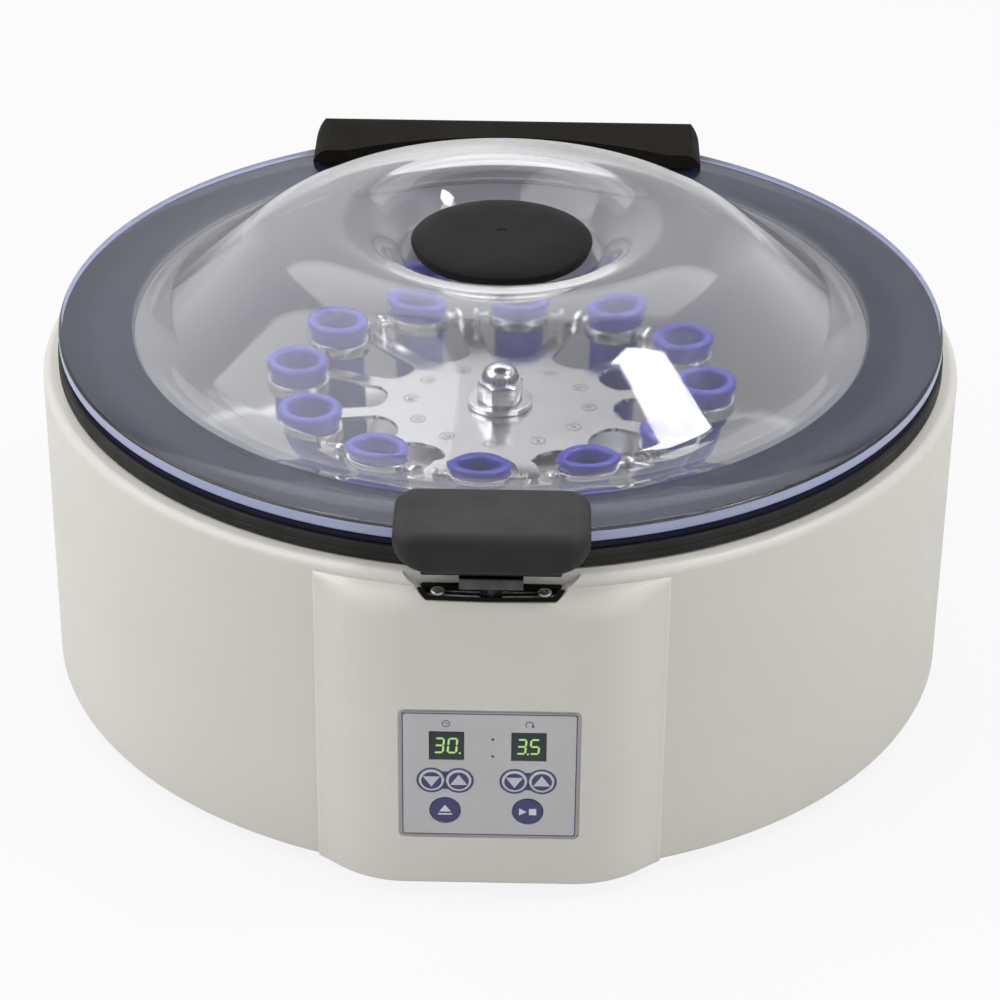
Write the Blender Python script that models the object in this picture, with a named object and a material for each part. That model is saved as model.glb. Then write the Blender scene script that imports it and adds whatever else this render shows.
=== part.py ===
"""Bench centrifuge with a clear hinged lid and a twelve-place swing-out rotor.

Metres, +Z up, the console faces -Y. The model is drawn about the rotor's axis, below an
empty that moves that axis so that the whole object stands centred on the origin.
"""

import math

import bmesh
import bpy
from mathutils import Matrix

MM = 0.001

# Driving dimensions
BODY_RADIUS = 185 * MM
BODY_BOTTOM = 6 * MM
DECK_TOP = 137 * MM
WALL = 3 * MM
HANDLE_NOSE = 10 * MM
REAR_BOX_DEPTH = 50 * MM
LID_SETBACK = 6.9 * MM
PIVOT_SHARE = 0.45405
PIVOT_DROP = 25 * MM
INLET_FLANGE = 2.5 * MM
STATIONS = 12
STATION_PHASE = -94.5

# Clearances
GAP = 0.3 * MM
OVERRUN = 2 * MM
BITE = 1 * MM

# Mesh fineness
LARGE_SIDES = 36
MIDDLE_SIDES = 20
SMALL_SIDES = 10
TINY_SIDES = 8
HEXAGON_SIDES = 6
SHARP_ANGLE = math.radians(35)
WELD = 0.001 * MM

FRONT_REACH = BODY_RADIUS + HANDLE_NOSE
REAR_WALL_REACH = BODY_RADIUS + REAR_BOX_DEPTH
REAR_REACH = REAR_WALL_REACH + GAP + INLET_FLANGE
AXIS_Y = (FRONT_REACH - REAR_REACH) / 2
LID_RADIUS = BODY_RADIUS - LID_SETBACK
PIVOT_RADIUS = BODY_RADIUS * PIVOT_SHARE
PIVOT_HEIGHT = DECK_TOP - PIVOT_DROP


# Modelling helpers
def arc(centre_u, centre_v, radius, start, end, steps):
    """Points of an arc, with its ends, in degrees from +u towards +v."""
    points = []
    for step in range(steps + 1):
        angle = math.radians(start + (end - start) * step / steps)
        points.append((centre_u + radius * math.cos(angle), centre_v + radius * math.sin(angle)))
    return points


def rounded_rectangle(low_u, high_u, low_v, high_v, radius, steps):
    """Anticlockwise outline of a rectangle with four round corners."""
    corners = (
        (high_u - radius, low_v + radius, -90),
        (high_u - radius, high_v - radius, 0),
        (low_u + radius, high_v - radius, 90),
        (low_u + radius, low_v + radius, 180),
    )
    outline = []
    for centre_u, centre_v, start in corners:
        outline += arc(centre_u, centre_v, radius, start, start + 90, steps)
    return outline


def prism(outline, low, high, axis="Z"):
    """A closed outline extruded along an axis: (x, y) along Z, (x, z) along Y, (y, z) along X."""
    place = {
        "Z": lambda u, v, w: (u, v, w),
        "Y": lambda u, v, w: (u, w, v),
        "X": lambda u, v, w: (w, u, v),
    }[axis]
    bm = bmesh.new()
    face = bm.faces.new([bm.verts.new(place(u, v, low)) for u, v in outline])
    grown = bmesh.ops.extrude_face_region(bm, geom=[face])["geom"]
    moved = [item for item in grown if isinstance(item, bmesh.types.BMVert)]
    bmesh.ops.translate(bm, verts=moved, vec=place(0, 0, high - low))
    bmesh.ops.recalc_face_normals(bm, faces=bm.faces)
    return bm


def box(low, high):
    """A plain box between two corners."""
    outline = [(low[0], low[1]), (high[0], low[1]), (high[0], high[1]), (low[0], high[1])]
    return prism(outline, low[2], high[2])


def turned(profile, sides, axis="Z"):
    """A profile of (radius, height) spun about an axis; open only where both ends are on it."""
    bm = bmesh.new()
    verts = [bm.verts.new((radius, 0, height)) for radius, height in profile]
    follows = verts[1:] + verts[:1]
    if profile[0][0] == 0 and profile[-1][0] == 0:
        follows = verts[1:]
    edges = [bm.edges.new(pair) for pair in zip(verts, follows)]
    bmesh.ops.spin(bm, geom=verts + edges, cent=(0, 0, 0), axis=(0, 0, 1), dvec=(0, 0, 0),
                   angle=math.tau, steps=sides, use_merge=True)
    bmesh.ops.remove_doubles(bm, verts=bm.verts, dist=WELD)
    if axis == "X":
        bmesh.ops.transform(bm, matrix=Matrix.Rotation(math.radians(90), 4, "Y"), verts=bm.verts)
    if axis == "Y":
        bmesh.ops.transform(bm, matrix=Matrix.Rotation(math.radians(-90), 4, "X"), verts=bm.verts)
    bmesh.ops.recalc_face_normals(bm, faces=bm.faces)
    return bm


def rod(radius, low, high, sides, axis="Z"):
    """A solid round bar."""
    return turned([(0, low), (radius, low), (radius, high), (0, high)], sides, axis)


def moved(bm, x=0, y=0, z=0):
    """The same shape, shifted."""
    bmesh.ops.translate(bm, verts=bm.verts, vec=(x, y, z))
    return bm


def spun(bm, degrees):
    """The same shape, turned about the rotor's axis."""
    bmesh.ops.rotate(bm, verts=bm.verts, cent=(0, 0, 0),
                     matrix=Matrix.Rotation(math.radians(degrees), 3, "Z"))
    return bm


def joined(shapes):
    """One mesh that holds several separate closed shapes."""
    whole = bmesh.new()
    for shape in shapes:
        mesh = bpy.data.meshes.new("shape")
        shape.to_mesh(mesh)
        shape.free()
        whole.from_mesh(mesh)
        bpy.data.meshes.remove(mesh)
    return whole


def round_edges(bm, picked, radius, segments):
    """Bevel the edges whose two ends both pass a test."""
    edges = [edge for edge in bm.edges if all(picked(vert.co) for vert in edge.verts)]
    bmesh.ops.bevel(bm, geom=edges, offset=radius, segments=segments, profile=0.5,
                    affect="EDGES")
    return bm


def add_empty(name, parent, location):
    """An empty that carries a group of pieces, at a point on their joint's axis."""
    empty = bpy.data.objects.new(name, None)
    bpy.context.collection.objects.link(empty)
    empty.parent = parent
    empty.location = location
    return empty


def add_object(name, shape, finish, parent, location=(0, 0, 0)):
    """A named piece with one finish, smooth where it is round."""
    mesh = bpy.data.meshes.new(name)
    shape.to_mesh(mesh)
    shape.free()
    mesh.shade_smooth()
    mesh.set_sharp_from_angle(angle=SHARP_ANGLE)
    mesh.materials.append(finish)
    piece = bpy.data.objects.new(name, mesh)
    bpy.context.collection.objects.link(piece)
    piece.parent = parent
    piece.location = location
    return piece


def shape_with(piece, name, shape, operation):
    """Cut a piece with a shape, or join the shape to it."""
    tool = add_object(f"{piece.name}_{name}", shape, piece.data.materials[0], piece.parent,
                      piece.location)
    tool.hide_render = True
    tool.display_type = "WIRE"
    boolean = piece.modifiers.new(name, "BOOLEAN")
    boolean.operation = operation
    boolean.solver = "EXACT"
    boolean.object = tool


def cut(piece, name, *shapes):
    shape_with(piece, name, joined(shapes), "DIFFERENCE")


def join(piece, name, *shapes):
    shape_with(piece, name, joined(shapes), "UNION")


def material(name, colour, roughness, metallic=0.0, alpha=1.0):
    finish = bpy.data.materials.new(name)
    finish.use_nodes = True
    shader = finish.node_tree.nodes["Principled BSDF"]
    shader.inputs["Base Color"].default_value = (*colour, 1.0)
    shader.inputs["Roughness"].default_value = roughness
    shader.inputs["Metallic"].default_value = metallic
    shader.inputs["Alpha"].default_value = alpha
    return finish


# Housing: a round moulded shell with a console in front and a box behind
SHOULDER_RADIUS = 7 * MM
SHOULDER_STEPS = 3
CONSOLE_REACH_OUTSET = 5.5 * MM
CONSOLE_REACH = BODY_RADIUS + CONSOLE_REACH_OUTSET
CONSOLE_FLAT_HALF = 31 * MM
CONSOLE_CORNER = 40 * MM
CONSOLE_CORNER_STEPS = 5
CONSOLE_ROOT_INSET = 45 * MM
CONSOLE_ROOT = BODY_RADIUS - CONSOLE_ROOT_INSET
CONSOLE_TOP_DROP = 0.5 * MM
CONSOLE_TOP = DECK_TOP - CONSOLE_TOP_DROP
CONSOLE_TOP_ROUND = 8 * MM
REAR_BOX_HALF = 78 * MM
REAR_BOX_TOP_DROP = 9 * MM
REAR_BOX_TOP = DECK_TOP - REAR_BOX_TOP_DROP
REAR_BOX_ROOT_INSET = 65 * MM
REAR_BOX_ROOT = BODY_RADIUS - REAR_BOX_ROOT_INSET
REAR_BOX_CORNER = 15 * MM
REAR_BOX_CORNER_STEPS = 4
REAR_BOX_TOP_ROUND = 5 * MM
TOP_ROUND_SEGMENTS = 3
MOUTH_RADIUS_INSET = 12.5 * MM
MOUTH_RADIUS = BODY_RADIUS - MOUTH_RADIUS_INSET
SHOULDER_INNER_RADIUS_INSET = 9.5 * MM
SHOULDER_INNER_RADIUS = BODY_RADIUS - SHOULDER_INNER_RADIUS_INSET
SHOULDER_INNER_TOP_DROP = 7 * MM
SHOULDER_INNER_TOP = DECK_TOP - SHOULDER_INNER_TOP_DROP
SHOULDER_INNER_FOOT_DROP = 19 * MM
SHOULDER_INNER_FOOT = DECK_TOP - SHOULDER_INNER_FOOT_DROP
NOTCH_FLOOR_DROP = 8.3 * MM
NOTCH_FLOOR = DECK_TOP - NOTCH_FLOOR_DROP
NOTCH_SKIN = 3 * MM
CONSOLE_CAVITY_TOP = NOTCH_FLOOR - NOTCH_SKIN
NOTCH_TOP_HALF = 33 * MM
NOTCH_BOTTOM_HALF = 23.3 * MM
NOTCH_BACK_INSET = 15.8 * MM
NOTCH_BACK = FRONT_REACH - NOTCH_BACK_INSET


def console_outline(inset):
    """Plan of the console, with each wall moved in by an inset."""
    radius = CONSOLE_CORNER - inset
    centre_y = CONSOLE_CORNER - CONSOLE_REACH
    outline = arc(-CONSOLE_FLAT_HALF, centre_y, radius, 180, 270, CONSOLE_CORNER_STEPS)
    outline += arc(CONSOLE_FLAT_HALF, centre_y, radius, 270, 360, CONSOLE_CORNER_STEPS)
    half = CONSOLE_FLAT_HALF + radius
    return outline + [(half, -CONSOLE_ROOT), (-half, -CONSOLE_ROOT)]


def rear_box_outline(inset):
    """Plan of the box behind the round body, with each wall moved in by an inset."""
    half = REAR_BOX_HALF - inset
    reach = REAR_WALL_REACH - inset
    radius = REAR_BOX_CORNER - inset
    outline = [(-half, REAR_BOX_ROOT), (half, REAR_BOX_ROOT)]
    outline += arc(half - radius, reach - radius, radius, 0, 90, REAR_BOX_CORNER_STEPS)
    outline += arc(radius - half, reach - radius, radius, 90, 180, REAR_BOX_CORNER_STEPS)
    return outline


def topped(outline, top, radius):
    """A prism on the housing's lower edge whose upper edge is rounded."""
    bm = prism(outline, BODY_BOTTOM, top)
    return round_edges(bm, lambda co: co.z > top - WELD, radius, TOP_ROUND_SEGMENTS)


def notch_outline(floor, top):
    """Front view of the notch that the lid's striker drops into."""
    slope = (NOTCH_TOP_HALF - NOTCH_BOTTOM_HALF) / (DECK_TOP - NOTCH_FLOOR)
    top_half = NOTCH_BOTTOM_HALF + slope * (top - NOTCH_FLOOR)
    floor_half = NOTCH_BOTTOM_HALF + slope * (floor - NOTCH_FLOOR)
    return [(-floor_half, floor), (floor_half, floor), (top_half, top), (-top_half, top)]


# Bosses inside the housing, which the feet's studs screw into through the base plate
BASE_PLATE_BOTTOM_OUTSET = 1.5 * MM
BASE_PLATE_BOTTOM = BODY_BOTTOM + BASE_PLATE_BOTTOM_OUTSET
BASE_PLATE_THICKNESS = 2 * MM
BASE_PLATE_TOP = BASE_PLATE_BOTTOM + BASE_PLATE_THICKNESS
BOSS_CIRCLE_INSET = 13.5 * MM
BOSS_CIRCLE = BODY_RADIUS - BOSS_CIRCLE_INSET
BOSS_RADIUS = 6 * MM
BOSS_STEPS = 4
BOSS_HEIGHT = 12 * MM
BOSS_TOP = BASE_PLATE_TOP + GAP + BOSS_HEIGHT
BOSS_ANGLES = {
    "rear_right_foot": 35,
    "rear_left_foot": 145,
    "front_left_foot": 215,
    "front_right_foot": 325,
}
STUD_RADIUS = 1.8 * MM
STUD_HOLE = STUD_RADIUS + GAP
STUD_DEPTH = 9 * MM


def on_circle(shape, radius, degrees):
    """A shape drawn at the axis, moved out to a circle and round it."""
    return spun(moved(shape, x=radius), degrees)


# Keypad panel and what is set into it
PANEL_CENTRE_Z = 56 * MM
PANEL_HALF_WIDTH = 32.4 * MM
PANEL_HALF_HEIGHT = 27.3 * MM
PANEL_SKIN = 0.9 * MM
RECESS_MARGIN = 1.3 * MM
RECESS_DEPTH = PANEL_SKIN + GAP
WINDOW_MARGIN = 3.6 * MM
PANEL_BACK_DEPTH = 5 * MM
PANEL_CORNER = 2 * MM
CORNER_STEPS = 2

# Rear wall fittings
MODULE_X = -40 * MM
MODULE_Z = 44 * MM
MODULE_HALF_WIDTH = 25 * MM
MODULE_HALF_HEIGHT = 15.5 * MM
MODULE_BODY_INSET = 2 * MM
VENT_COUNT = 9
VENT_PITCH = 11 * MM
VENT_WIDTH = 4 * MM
VENT_LOW_DROP = 44 * MM
VENT_LOW = REAR_BOX_TOP - VENT_LOW_DROP
VENT_HIGH_DROP = 16 * MM
VENT_HIGH = REAR_BOX_TOP - VENT_HIGH_DROP

# Latch parts that pass through the notch's floor
HOOK_Y_INSET = 11.6 * MM
HOOK_Y = HOOK_Y_INSET - FRONT_REACH
HOOK_HALF_DEPTH = 3 * MM
HOOK_HALF_THICKNESS = 1.2 * MM
HOOK_ROOM_FRONT = 1.2 * MM
HOOK_ROOM_BACK = 0.5 * MM
HOOK_ROOM_SIDE = 2.5 * MM


def hook_slot(extra):
    """Corners in plan of the slot that the lid's hook drops through."""
    half = HOOK_HALF_THICKNESS + HOOK_ROOM_SIDE + extra
    front = HOOK_Y - HOOK_HALF_DEPTH - HOOK_ROOM_FRONT - extra
    back = HOOK_Y + HOOK_HALF_DEPTH + HOOK_ROOM_BACK + extra
    return -half, half, front, back


def make_housing(parent, finish):
    shoulder = arc(BODY_RADIUS - SHOULDER_RADIUS, DECK_TOP - SHOULDER_RADIUS, SHOULDER_RADIUS,
                   0, 90, SHOULDER_STEPS)
    outer = [(0, BODY_BOTTOM), (BODY_RADIUS, BODY_BOTTOM), *shoulder, (0, DECK_TOP)]
    housing = add_object("housing", turned(outer, LARGE_SIDES), finish, parent)
    join(housing, "console", topped(console_outline(0), CONSOLE_TOP, CONSOLE_TOP_ROUND))
    join(housing, "rear_box", topped(rear_box_outline(0), REAR_BOX_TOP, REAR_BOX_TOP_ROUND))

    low = BODY_BOTTOM - OVERRUN
    inner = [
        (0, low),
        (BODY_RADIUS - WALL, low),
        (BODY_RADIUS - WALL, SHOULDER_INNER_FOOT),
        (SHOULDER_INNER_RADIUS, SHOULDER_INNER_TOP),
        (SHOULDER_INNER_RADIUS, DECK_TOP - WALL),
        (MOUTH_RADIUS, DECK_TOP - WALL),
        (MOUTH_RADIUS, DECK_TOP + OVERRUN),
        (0, DECK_TOP + OVERRUN),
    ]
    cut(housing, "cavity", turned(inner, LARGE_SIDES))
    cut(housing, "console_cavity", prism(console_outline(WALL), low, CONSOLE_CAVITY_TOP))
    cut(housing, "rear_cavity",
        prism(rear_box_outline(WALL), low, REAR_BOX_TOP - REAR_BOX_TOP_ROUND - BITE))

    bosses = []
    holes = []
    root = BODY_RADIUS - WALL / 2
    boss_outline = arc(BOSS_CIRCLE, 0, BOSS_RADIUS, 90, 270, BOSS_STEPS)
    boss_outline += [(root, -BOSS_RADIUS), (root, BOSS_RADIUS)]
    for angle in BOSS_ANGLES.values():
        hole = rod(STUD_HOLE, BASE_PLATE_BOTTOM, BASE_PLATE_TOP + STUD_DEPTH + GAP, TINY_SIDES)
        bosses.append(spun(prism(boss_outline, BASE_PLATE_TOP + GAP, BOSS_TOP), angle))
        holes.append(on_circle(hole, BOSS_CIRCLE, angle))
    join(housing, "bosses", *bosses)
    cut(housing, "boss_holes", *holes)

    notch = prism(notch_outline(NOTCH_FLOOR, DECK_TOP + OVERRUN), -FRONT_REACH, -NOTCH_BACK, "Y")
    cut(housing, "notch", notch)
    left, _, front, back = hook_slot(GAP)
    window = box((left, front, CONSOLE_CAVITY_TOP - OVERRUN),
                 (-left, back, NOTCH_FLOOR + OVERRUN))
    cut(housing, "hook_window", window)

    recess = rounded_rectangle(-PANEL_HALF_WIDTH - RECESS_MARGIN, PANEL_HALF_WIDTH + RECESS_MARGIN,
                               PANEL_CENTRE_Z - PANEL_HALF_HEIGHT - RECESS_MARGIN,
                               PANEL_CENTRE_Z + PANEL_HALF_HEIGHT + RECESS_MARGIN,
                               PANEL_CORNER, CORNER_STEPS)
    cut(housing, "recess", prism(recess, -CONSOLE_REACH - OVERRUN, RECESS_DEPTH - CONSOLE_REACH, "Y"))
    half_width = PANEL_HALF_WIDTH - WINDOW_MARGIN + GAP
    half_height = PANEL_HALF_HEIGHT - WINDOW_MARGIN + GAP
    cut(housing, "keypad_window",
        box((-half_width, -CONSOLE_REACH - OVERRUN, PANEL_CENTRE_Z - half_height),
            (half_width, WALL + OVERRUN - CONSOLE_REACH, PANEL_CENTRE_Z + half_height)))

    wall_inside = REAR_WALL_REACH - WALL - OVERRUN
    wall_outside = REAR_WALL_REACH + OVERRUN
    half_width = MODULE_HALF_WIDTH - MODULE_BODY_INSET + GAP
    half_height = MODULE_HALF_HEIGHT - MODULE_BODY_INSET + GAP
    rear_cuts = [box((MODULE_X - half_width, wall_inside, MODULE_Z - half_height),
                     (MODULE_X + half_width, wall_outside, MODULE_Z + half_height))]
    for index in range(VENT_COUNT):
        x = (index - (VENT_COUNT - 1) / 2) * VENT_PITCH
        slot = rounded_rectangle(x - VENT_WIDTH / 2, x + VENT_WIDTH / 2, VENT_LOW, VENT_HIGH,
                                 VENT_WIDTH / 2, CORNER_STEPS)
        rear_cuts.append(prism(slot, wall_inside, wall_outside, "Y"))
    cut(housing, "rear_cuts", *rear_cuts)


# Base plate, and the feet with their studs
FOOT_RADIUS = 11 * MM
FOOT_TOP_RADIUS = 8.5 * MM
FOOT_WAIST = 2.5 * MM


def make_base(parent, metal, rubber):
    plate = add_object("base_plate",
                       rod(BODY_RADIUS - WALL - GAP, BASE_PLATE_BOTTOM, BASE_PLATE_TOP, LARGE_SIDES),
                       metal, parent)
    join(plate, "console_part",
         prism(console_outline(WALL + GAP), BASE_PLATE_BOTTOM, BASE_PLATE_TOP))
    join(plate, "rear_part",
         prism(rear_box_outline(WALL + GAP), BASE_PLATE_BOTTOM, BASE_PLATE_TOP))
    foot = [
        (0, 0),
        (FOOT_RADIUS - BITE, 0),
        (FOOT_RADIUS, BITE),
        (FOOT_RADIUS, FOOT_WAIST),
        (FOOT_TOP_RADIUS, BASE_PLATE_BOTTOM - GAP),
        (STUD_RADIUS, BASE_PLATE_BOTTOM - GAP),
        (STUD_RADIUS, BASE_PLATE_TOP + STUD_DEPTH),
        (0, BASE_PLATE_TOP + STUD_DEPTH),
    ]
    holes = []
    for name, angle in BOSS_ANGLES.items():
        hole = rod(STUD_HOLE, BASE_PLATE_BOTTOM - OVERRUN, BASE_PLATE_TOP + OVERRUN, TINY_SIDES)
        holes.append(on_circle(hole, BOSS_CIRCLE, angle))
        turn = math.radians(angle)
        place = (BOSS_CIRCLE * math.cos(turn), BOSS_CIRCLE * math.sin(turn), 0)
        add_object(name, turned(foot, SMALL_SIDES), rubber, parent, place)
    cut(plate, "stud_holes", *holes)


# Bowl: a spun sheet with a hat over the motor
BOWL_SHEET = 1.2 * MM
BOWL_FLANGE_RADIUS_OUTSET = 3.5 * MM
BOWL_FLANGE_RADIUS = MOUTH_RADIUS + BOWL_FLANGE_RADIUS_OUTSET
BOWL_TOP = DECK_TOP + GAP + BOWL_SHEET
BOWL_RADIUS_INSET = 2.5 * MM
BOWL_RADIUS = MOUTH_RADIUS - BOWL_RADIUS_INSET
BOWL_FLOOR = 26 * MM
BOWL_CORNER = 12 * MM
BOWL_CORNER_STEPS = 2
HAT_FOOT_RADIUS = 61 * MM
HAT_TOP_RADIUS = 56 * MM
HAT_TOP_DROP = 20 * MM
HAT_TOP = PIVOT_HEIGHT - HAT_TOP_DROP
HAT_ROUND = 5 * MM
HAT_HOLE = 16 * MM


def make_bowl(parent, finish):
    edge = BOWL_RADIUS - BOWL_CORNER
    corner = arc(edge, BOWL_FLOOR + BOWL_CORNER, BOWL_CORNER, -90, 0, BOWL_CORNER_STEPS)
    under_corner = arc(edge, BOWL_FLOOR + BOWL_CORNER, BOWL_CORNER + BOWL_SHEET, 0, -90,
                       BOWL_CORNER_STEPS)
    floor_under = BOWL_FLOOR - BOWL_SHEET
    top_under = BOWL_TOP - BOWL_SHEET
    profile = [
        (HAT_HOLE, HAT_TOP),
        (HAT_TOP_RADIUS - HAT_ROUND, HAT_TOP),
        (HAT_TOP_RADIUS, HAT_TOP - HAT_ROUND),
        (HAT_FOOT_RADIUS, BOWL_FLOOR),
        *corner,
        (BOWL_RADIUS, BOWL_TOP),
        (BOWL_FLANGE_RADIUS, BOWL_TOP),
        (BOWL_FLANGE_RADIUS, top_under),
        (BOWL_RADIUS + BOWL_SHEET, top_under),
        *under_corner,
        (HAT_FOOT_RADIUS - BOWL_SHEET, floor_under),
        (HAT_TOP_RADIUS - BOWL_SHEET, HAT_TOP - HAT_ROUND - BOWL_SHEET / 2),
        (HAT_TOP_RADIUS - HAT_ROUND - BOWL_SHEET / 2, HAT_TOP - BOWL_SHEET),
        (HAT_HOLE, HAT_TOP - BOWL_SHEET),
    ]
    add_object("bowl", turned(profile, LARGE_SIDES), finish, parent)


# Rim gasket on the deck, over the bowl's flange
GASKET_RADIUS_INSET = 5 * MM
GASKET_RADIUS = BODY_RADIUS - GASKET_RADIUS_INSET
GASKET_TOP_RISE = 7.1 * MM
GASKET_TOP = DECK_TOP + GASKET_TOP_RISE
GASKET_INNER_INSET = 0.9 * MM
GASKET_INNER = MOUTH_RADIUS - GASKET_INNER_INSET
GASKET_BULGE = 1.6 * MM


def make_gasket(parent, finish):
    lip = BOWL_FLANGE_RADIUS + GAP
    bottom = DECK_TOP + GAP
    profile = [
        (GASKET_INNER, BOWL_TOP + GAP),
        (lip, BOWL_TOP + GAP),
        (lip, bottom),
        (GASKET_RADIUS - GASKET_BULGE, bottom),
        (GASKET_RADIUS, bottom + GASKET_BULGE),
        (GASKET_RADIUS, GASKET_TOP - GASKET_BULGE),
        (GASKET_RADIUS - GASKET_BULGE, GASKET_TOP),
        (GASKET_INNER, GASKET_TOP),
    ]
    add_object("rim_gasket", turned(profile, LARGE_SIDES), finish, parent)


# Motor, the rubber ring that it stands on, its shaft and the boot round the shaft
DAMPER_RADIUS = 46 * MM
DAMPER_INNER = 30 * MM
DAMPER_HEIGHT = 8 * MM
DAMPER_TOP = BASE_PLATE_TOP + GAP + DAMPER_HEIGHT
MOTOR_BOTTOM = DAMPER_TOP + GAP
MOTOR_FLANGE_RADIUS = 50 * MM
MOTOR_FLANGE = 3.5 * MM
MOTOR_RADIUS = 41 * MM
MOTOR_TOP_DROP = 10 * MM
MOTOR_TOP = HAT_TOP - MOTOR_TOP_DROP
MOTOR_CHAMFER = 4 * MM
MOTOR_BOSS_RADIUS = 14 * MM
MOTOR_BOSS_TOP_RISE = 4.5 * MM
MOTOR_BOSS_TOP = MOTOR_TOP + MOTOR_BOSS_TOP_RISE
SHAFT_RADIUS = 4 * MM
SHAFT_BOTTOM_DROP = 22 * MM
SHAFT_BOTTOM = MOTOR_TOP - SHAFT_BOTTOM_DROP
SHAFT_TOP_RISE = 10 * MM
SHAFT_TOP = PIVOT_HEIGHT + SHAFT_TOP_RISE
BOOT_RADIUS = 20 * MM
BOOT_FLANGE = 2 * MM
BOOT_TOP_RISE = 6.6 * MM
BOOT_TOP = HAT_TOP + BOOT_TOP_RISE
BOOT_LIP = 2 * MM
BOOT_PLUG = 3 * MM
BOOT_WALL = 1.8 * MM


def make_motor(parent, finish, rubber):
    bore = SHAFT_RADIUS + GAP
    profile = [
        (0, MOTOR_BOTTOM),
        (MOTOR_FLANGE_RADIUS, MOTOR_BOTTOM),
        (MOTOR_FLANGE_RADIUS, MOTOR_BOTTOM + MOTOR_FLANGE),
        (MOTOR_RADIUS, MOTOR_BOTTOM + MOTOR_FLANGE),
        (MOTOR_RADIUS, MOTOR_TOP - MOTOR_CHAMFER),
        (MOTOR_RADIUS - MOTOR_CHAMFER, MOTOR_TOP),
        (MOTOR_BOSS_RADIUS, MOTOR_TOP),
        (MOTOR_BOSS_RADIUS, MOTOR_BOSS_TOP),
        (bore, MOTOR_BOSS_TOP),
        (bore, SHAFT_BOTTOM - GAP),
        (0, SHAFT_BOTTOM - GAP),
    ]
    add_object("motor", turned(profile, MIDDLE_SIDES), finish, parent)
    damper_bottom = BASE_PLATE_TOP + GAP
    damper = [(DAMPER_INNER, damper_bottom), (DAMPER_RADIUS, damper_bottom),
              (DAMPER_RADIUS, DAMPER_TOP), (DAMPER_INNER, DAMPER_TOP)]
    add_object("motor_damper", turned(damper, MIDDLE_SIDES), rubber, parent)

    plug = HAT_HOLE - GAP
    throat = SHAFT_RADIUS + 2 * GAP
    seat = HAT_TOP + GAP
    boot = [
        (throat, BOOT_TOP),
        (throat, BOOT_TOP - BOOT_LIP),
        (plug - BOOT_WALL, seat),
        (plug - BOOT_WALL, HAT_TOP - BOWL_SHEET - BOOT_PLUG),
        (plug, HAT_TOP - BOWL_SHEET - BOOT_PLUG),
        (plug, seat),
        (BOOT_RADIUS, seat),
        (BOOT_RADIUS, seat + BOOT_FLANGE),
        (plug, seat + BOOT_FLANGE),
        (throat + BOOT_WALL, BOOT_TOP),
    ]
    add_object("shaft_boot", turned(boot, MIDDLE_SIDES), rubber, parent)


# Rotor: shaft with its drive flange, slotted plate with lugs, and the nut on top
PLATE_THICKNESS = 2 * MM
PLATE_TOP_DROP = 4.5 * MM
PLATE_TOP = PIVOT_HEIGHT - PLATE_TOP_DROP
PLATE_BOTTOM = PLATE_TOP - PLATE_THICKNESS
ARM_WIDTH_SHARE = 0.09524
ARM_WIDTH = PIVOT_RADIUS * ARM_WIDTH_SHARE
ARM_TIP_RADIUS_OUTSET = 6 * MM
ARM_TIP_RADIUS = PIVOT_RADIUS + ARM_TIP_RADIUS_OUTSET
SLOT_ROOT_SHARE = 0.55952
SLOT_ROOT_RADIUS = PIVOT_RADIUS * SLOT_ROOT_SHARE
SLOT_ROOT_ROUND = 7 * MM
SLOT_ROOT_STEPS = 3
LUG_THICKNESS = 1.8 * MM
LUG_SETBACK = 0.3 * MM
LUG_RADIUS = 4.5 * MM
LUG_STEPS = 3
RING_SHARE = 0.15476
RING_RADIUS = PIVOT_RADIUS * RING_SHARE
RING_THICKNESS = 2.2 * MM
RING_INNER_RADIUS = RING_RADIUS - RING_THICKNESS
RING_HEIGHT = 6 * MM
TRUNNION_RADIUS = 1.8 * MM
LUG_ROOM_SHARE = 0.2923
SLOT_HALF_WIDTH = RING_RADIUS * (1 + LUG_ROOM_SHARE)
TRUNNION_END = 2.4 * MM
TRUNNION_REACH = SLOT_HALF_WIDTH + TRUNNION_END
DRIVE_FLANGE_RADIUS = 22 * MM
DRIVE_FLANGE = 3.2 * MM
SHAFT_COLLAR_RADIUS = 10 * MM
SHAFT_COLLAR_BOTTOM_DROP = 8 * MM
SHAFT_COLLAR_BOTTOM = PLATE_TOP - SHAFT_COLLAR_BOTTOM_DROP
WASHER_RADIUS = 13.5 * MM
WASHER_HEIGHT = 2.4 * MM
NUT_RADIUS = 8.6 * MM
NUT_TOP_RISE = 12 * MM
NUT_TOP = PLATE_TOP + NUT_TOP_RISE
NUT_DOME_RADIUS = 7 * MM
NUT_DOME_TOP_RISE = 8.5 * MM
NUT_DOME_TOP = NUT_TOP + NUT_DOME_TOP_RISE


def slot_outline():
    """Plan of one slot, about the +X axis, from its open end in to its root and out again."""
    half_step = math.pi / STATIONS
    slope = math.tan(half_step)
    edge = ARM_WIDTH / 2 / math.cos(half_step)
    flare_radius = (SLOT_HALF_WIDTH + edge) / slope
    root_half = slope * (SLOT_ROOT_RADIUS + SLOT_ROOT_ROUND) - edge
    round_part = arc(SLOT_ROOT_RADIUS + SLOT_ROOT_ROUND, 0, 1, 90, 270, 2 * SLOT_ROOT_STEPS)
    root = []
    for along, across in round_part:
        lead = along - (SLOT_ROOT_RADIUS + SLOT_ROOT_ROUND)
        root.append((SLOT_ROOT_RADIUS + SLOT_ROOT_ROUND + lead * SLOT_ROOT_ROUND,
                     across * root_half))
    side = [(ARM_TIP_RADIUS, SLOT_HALF_WIDTH), (flare_radius, SLOT_HALF_WIDTH)]
    return side + root + [(x, -y) for x, y in reversed(side)]


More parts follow.
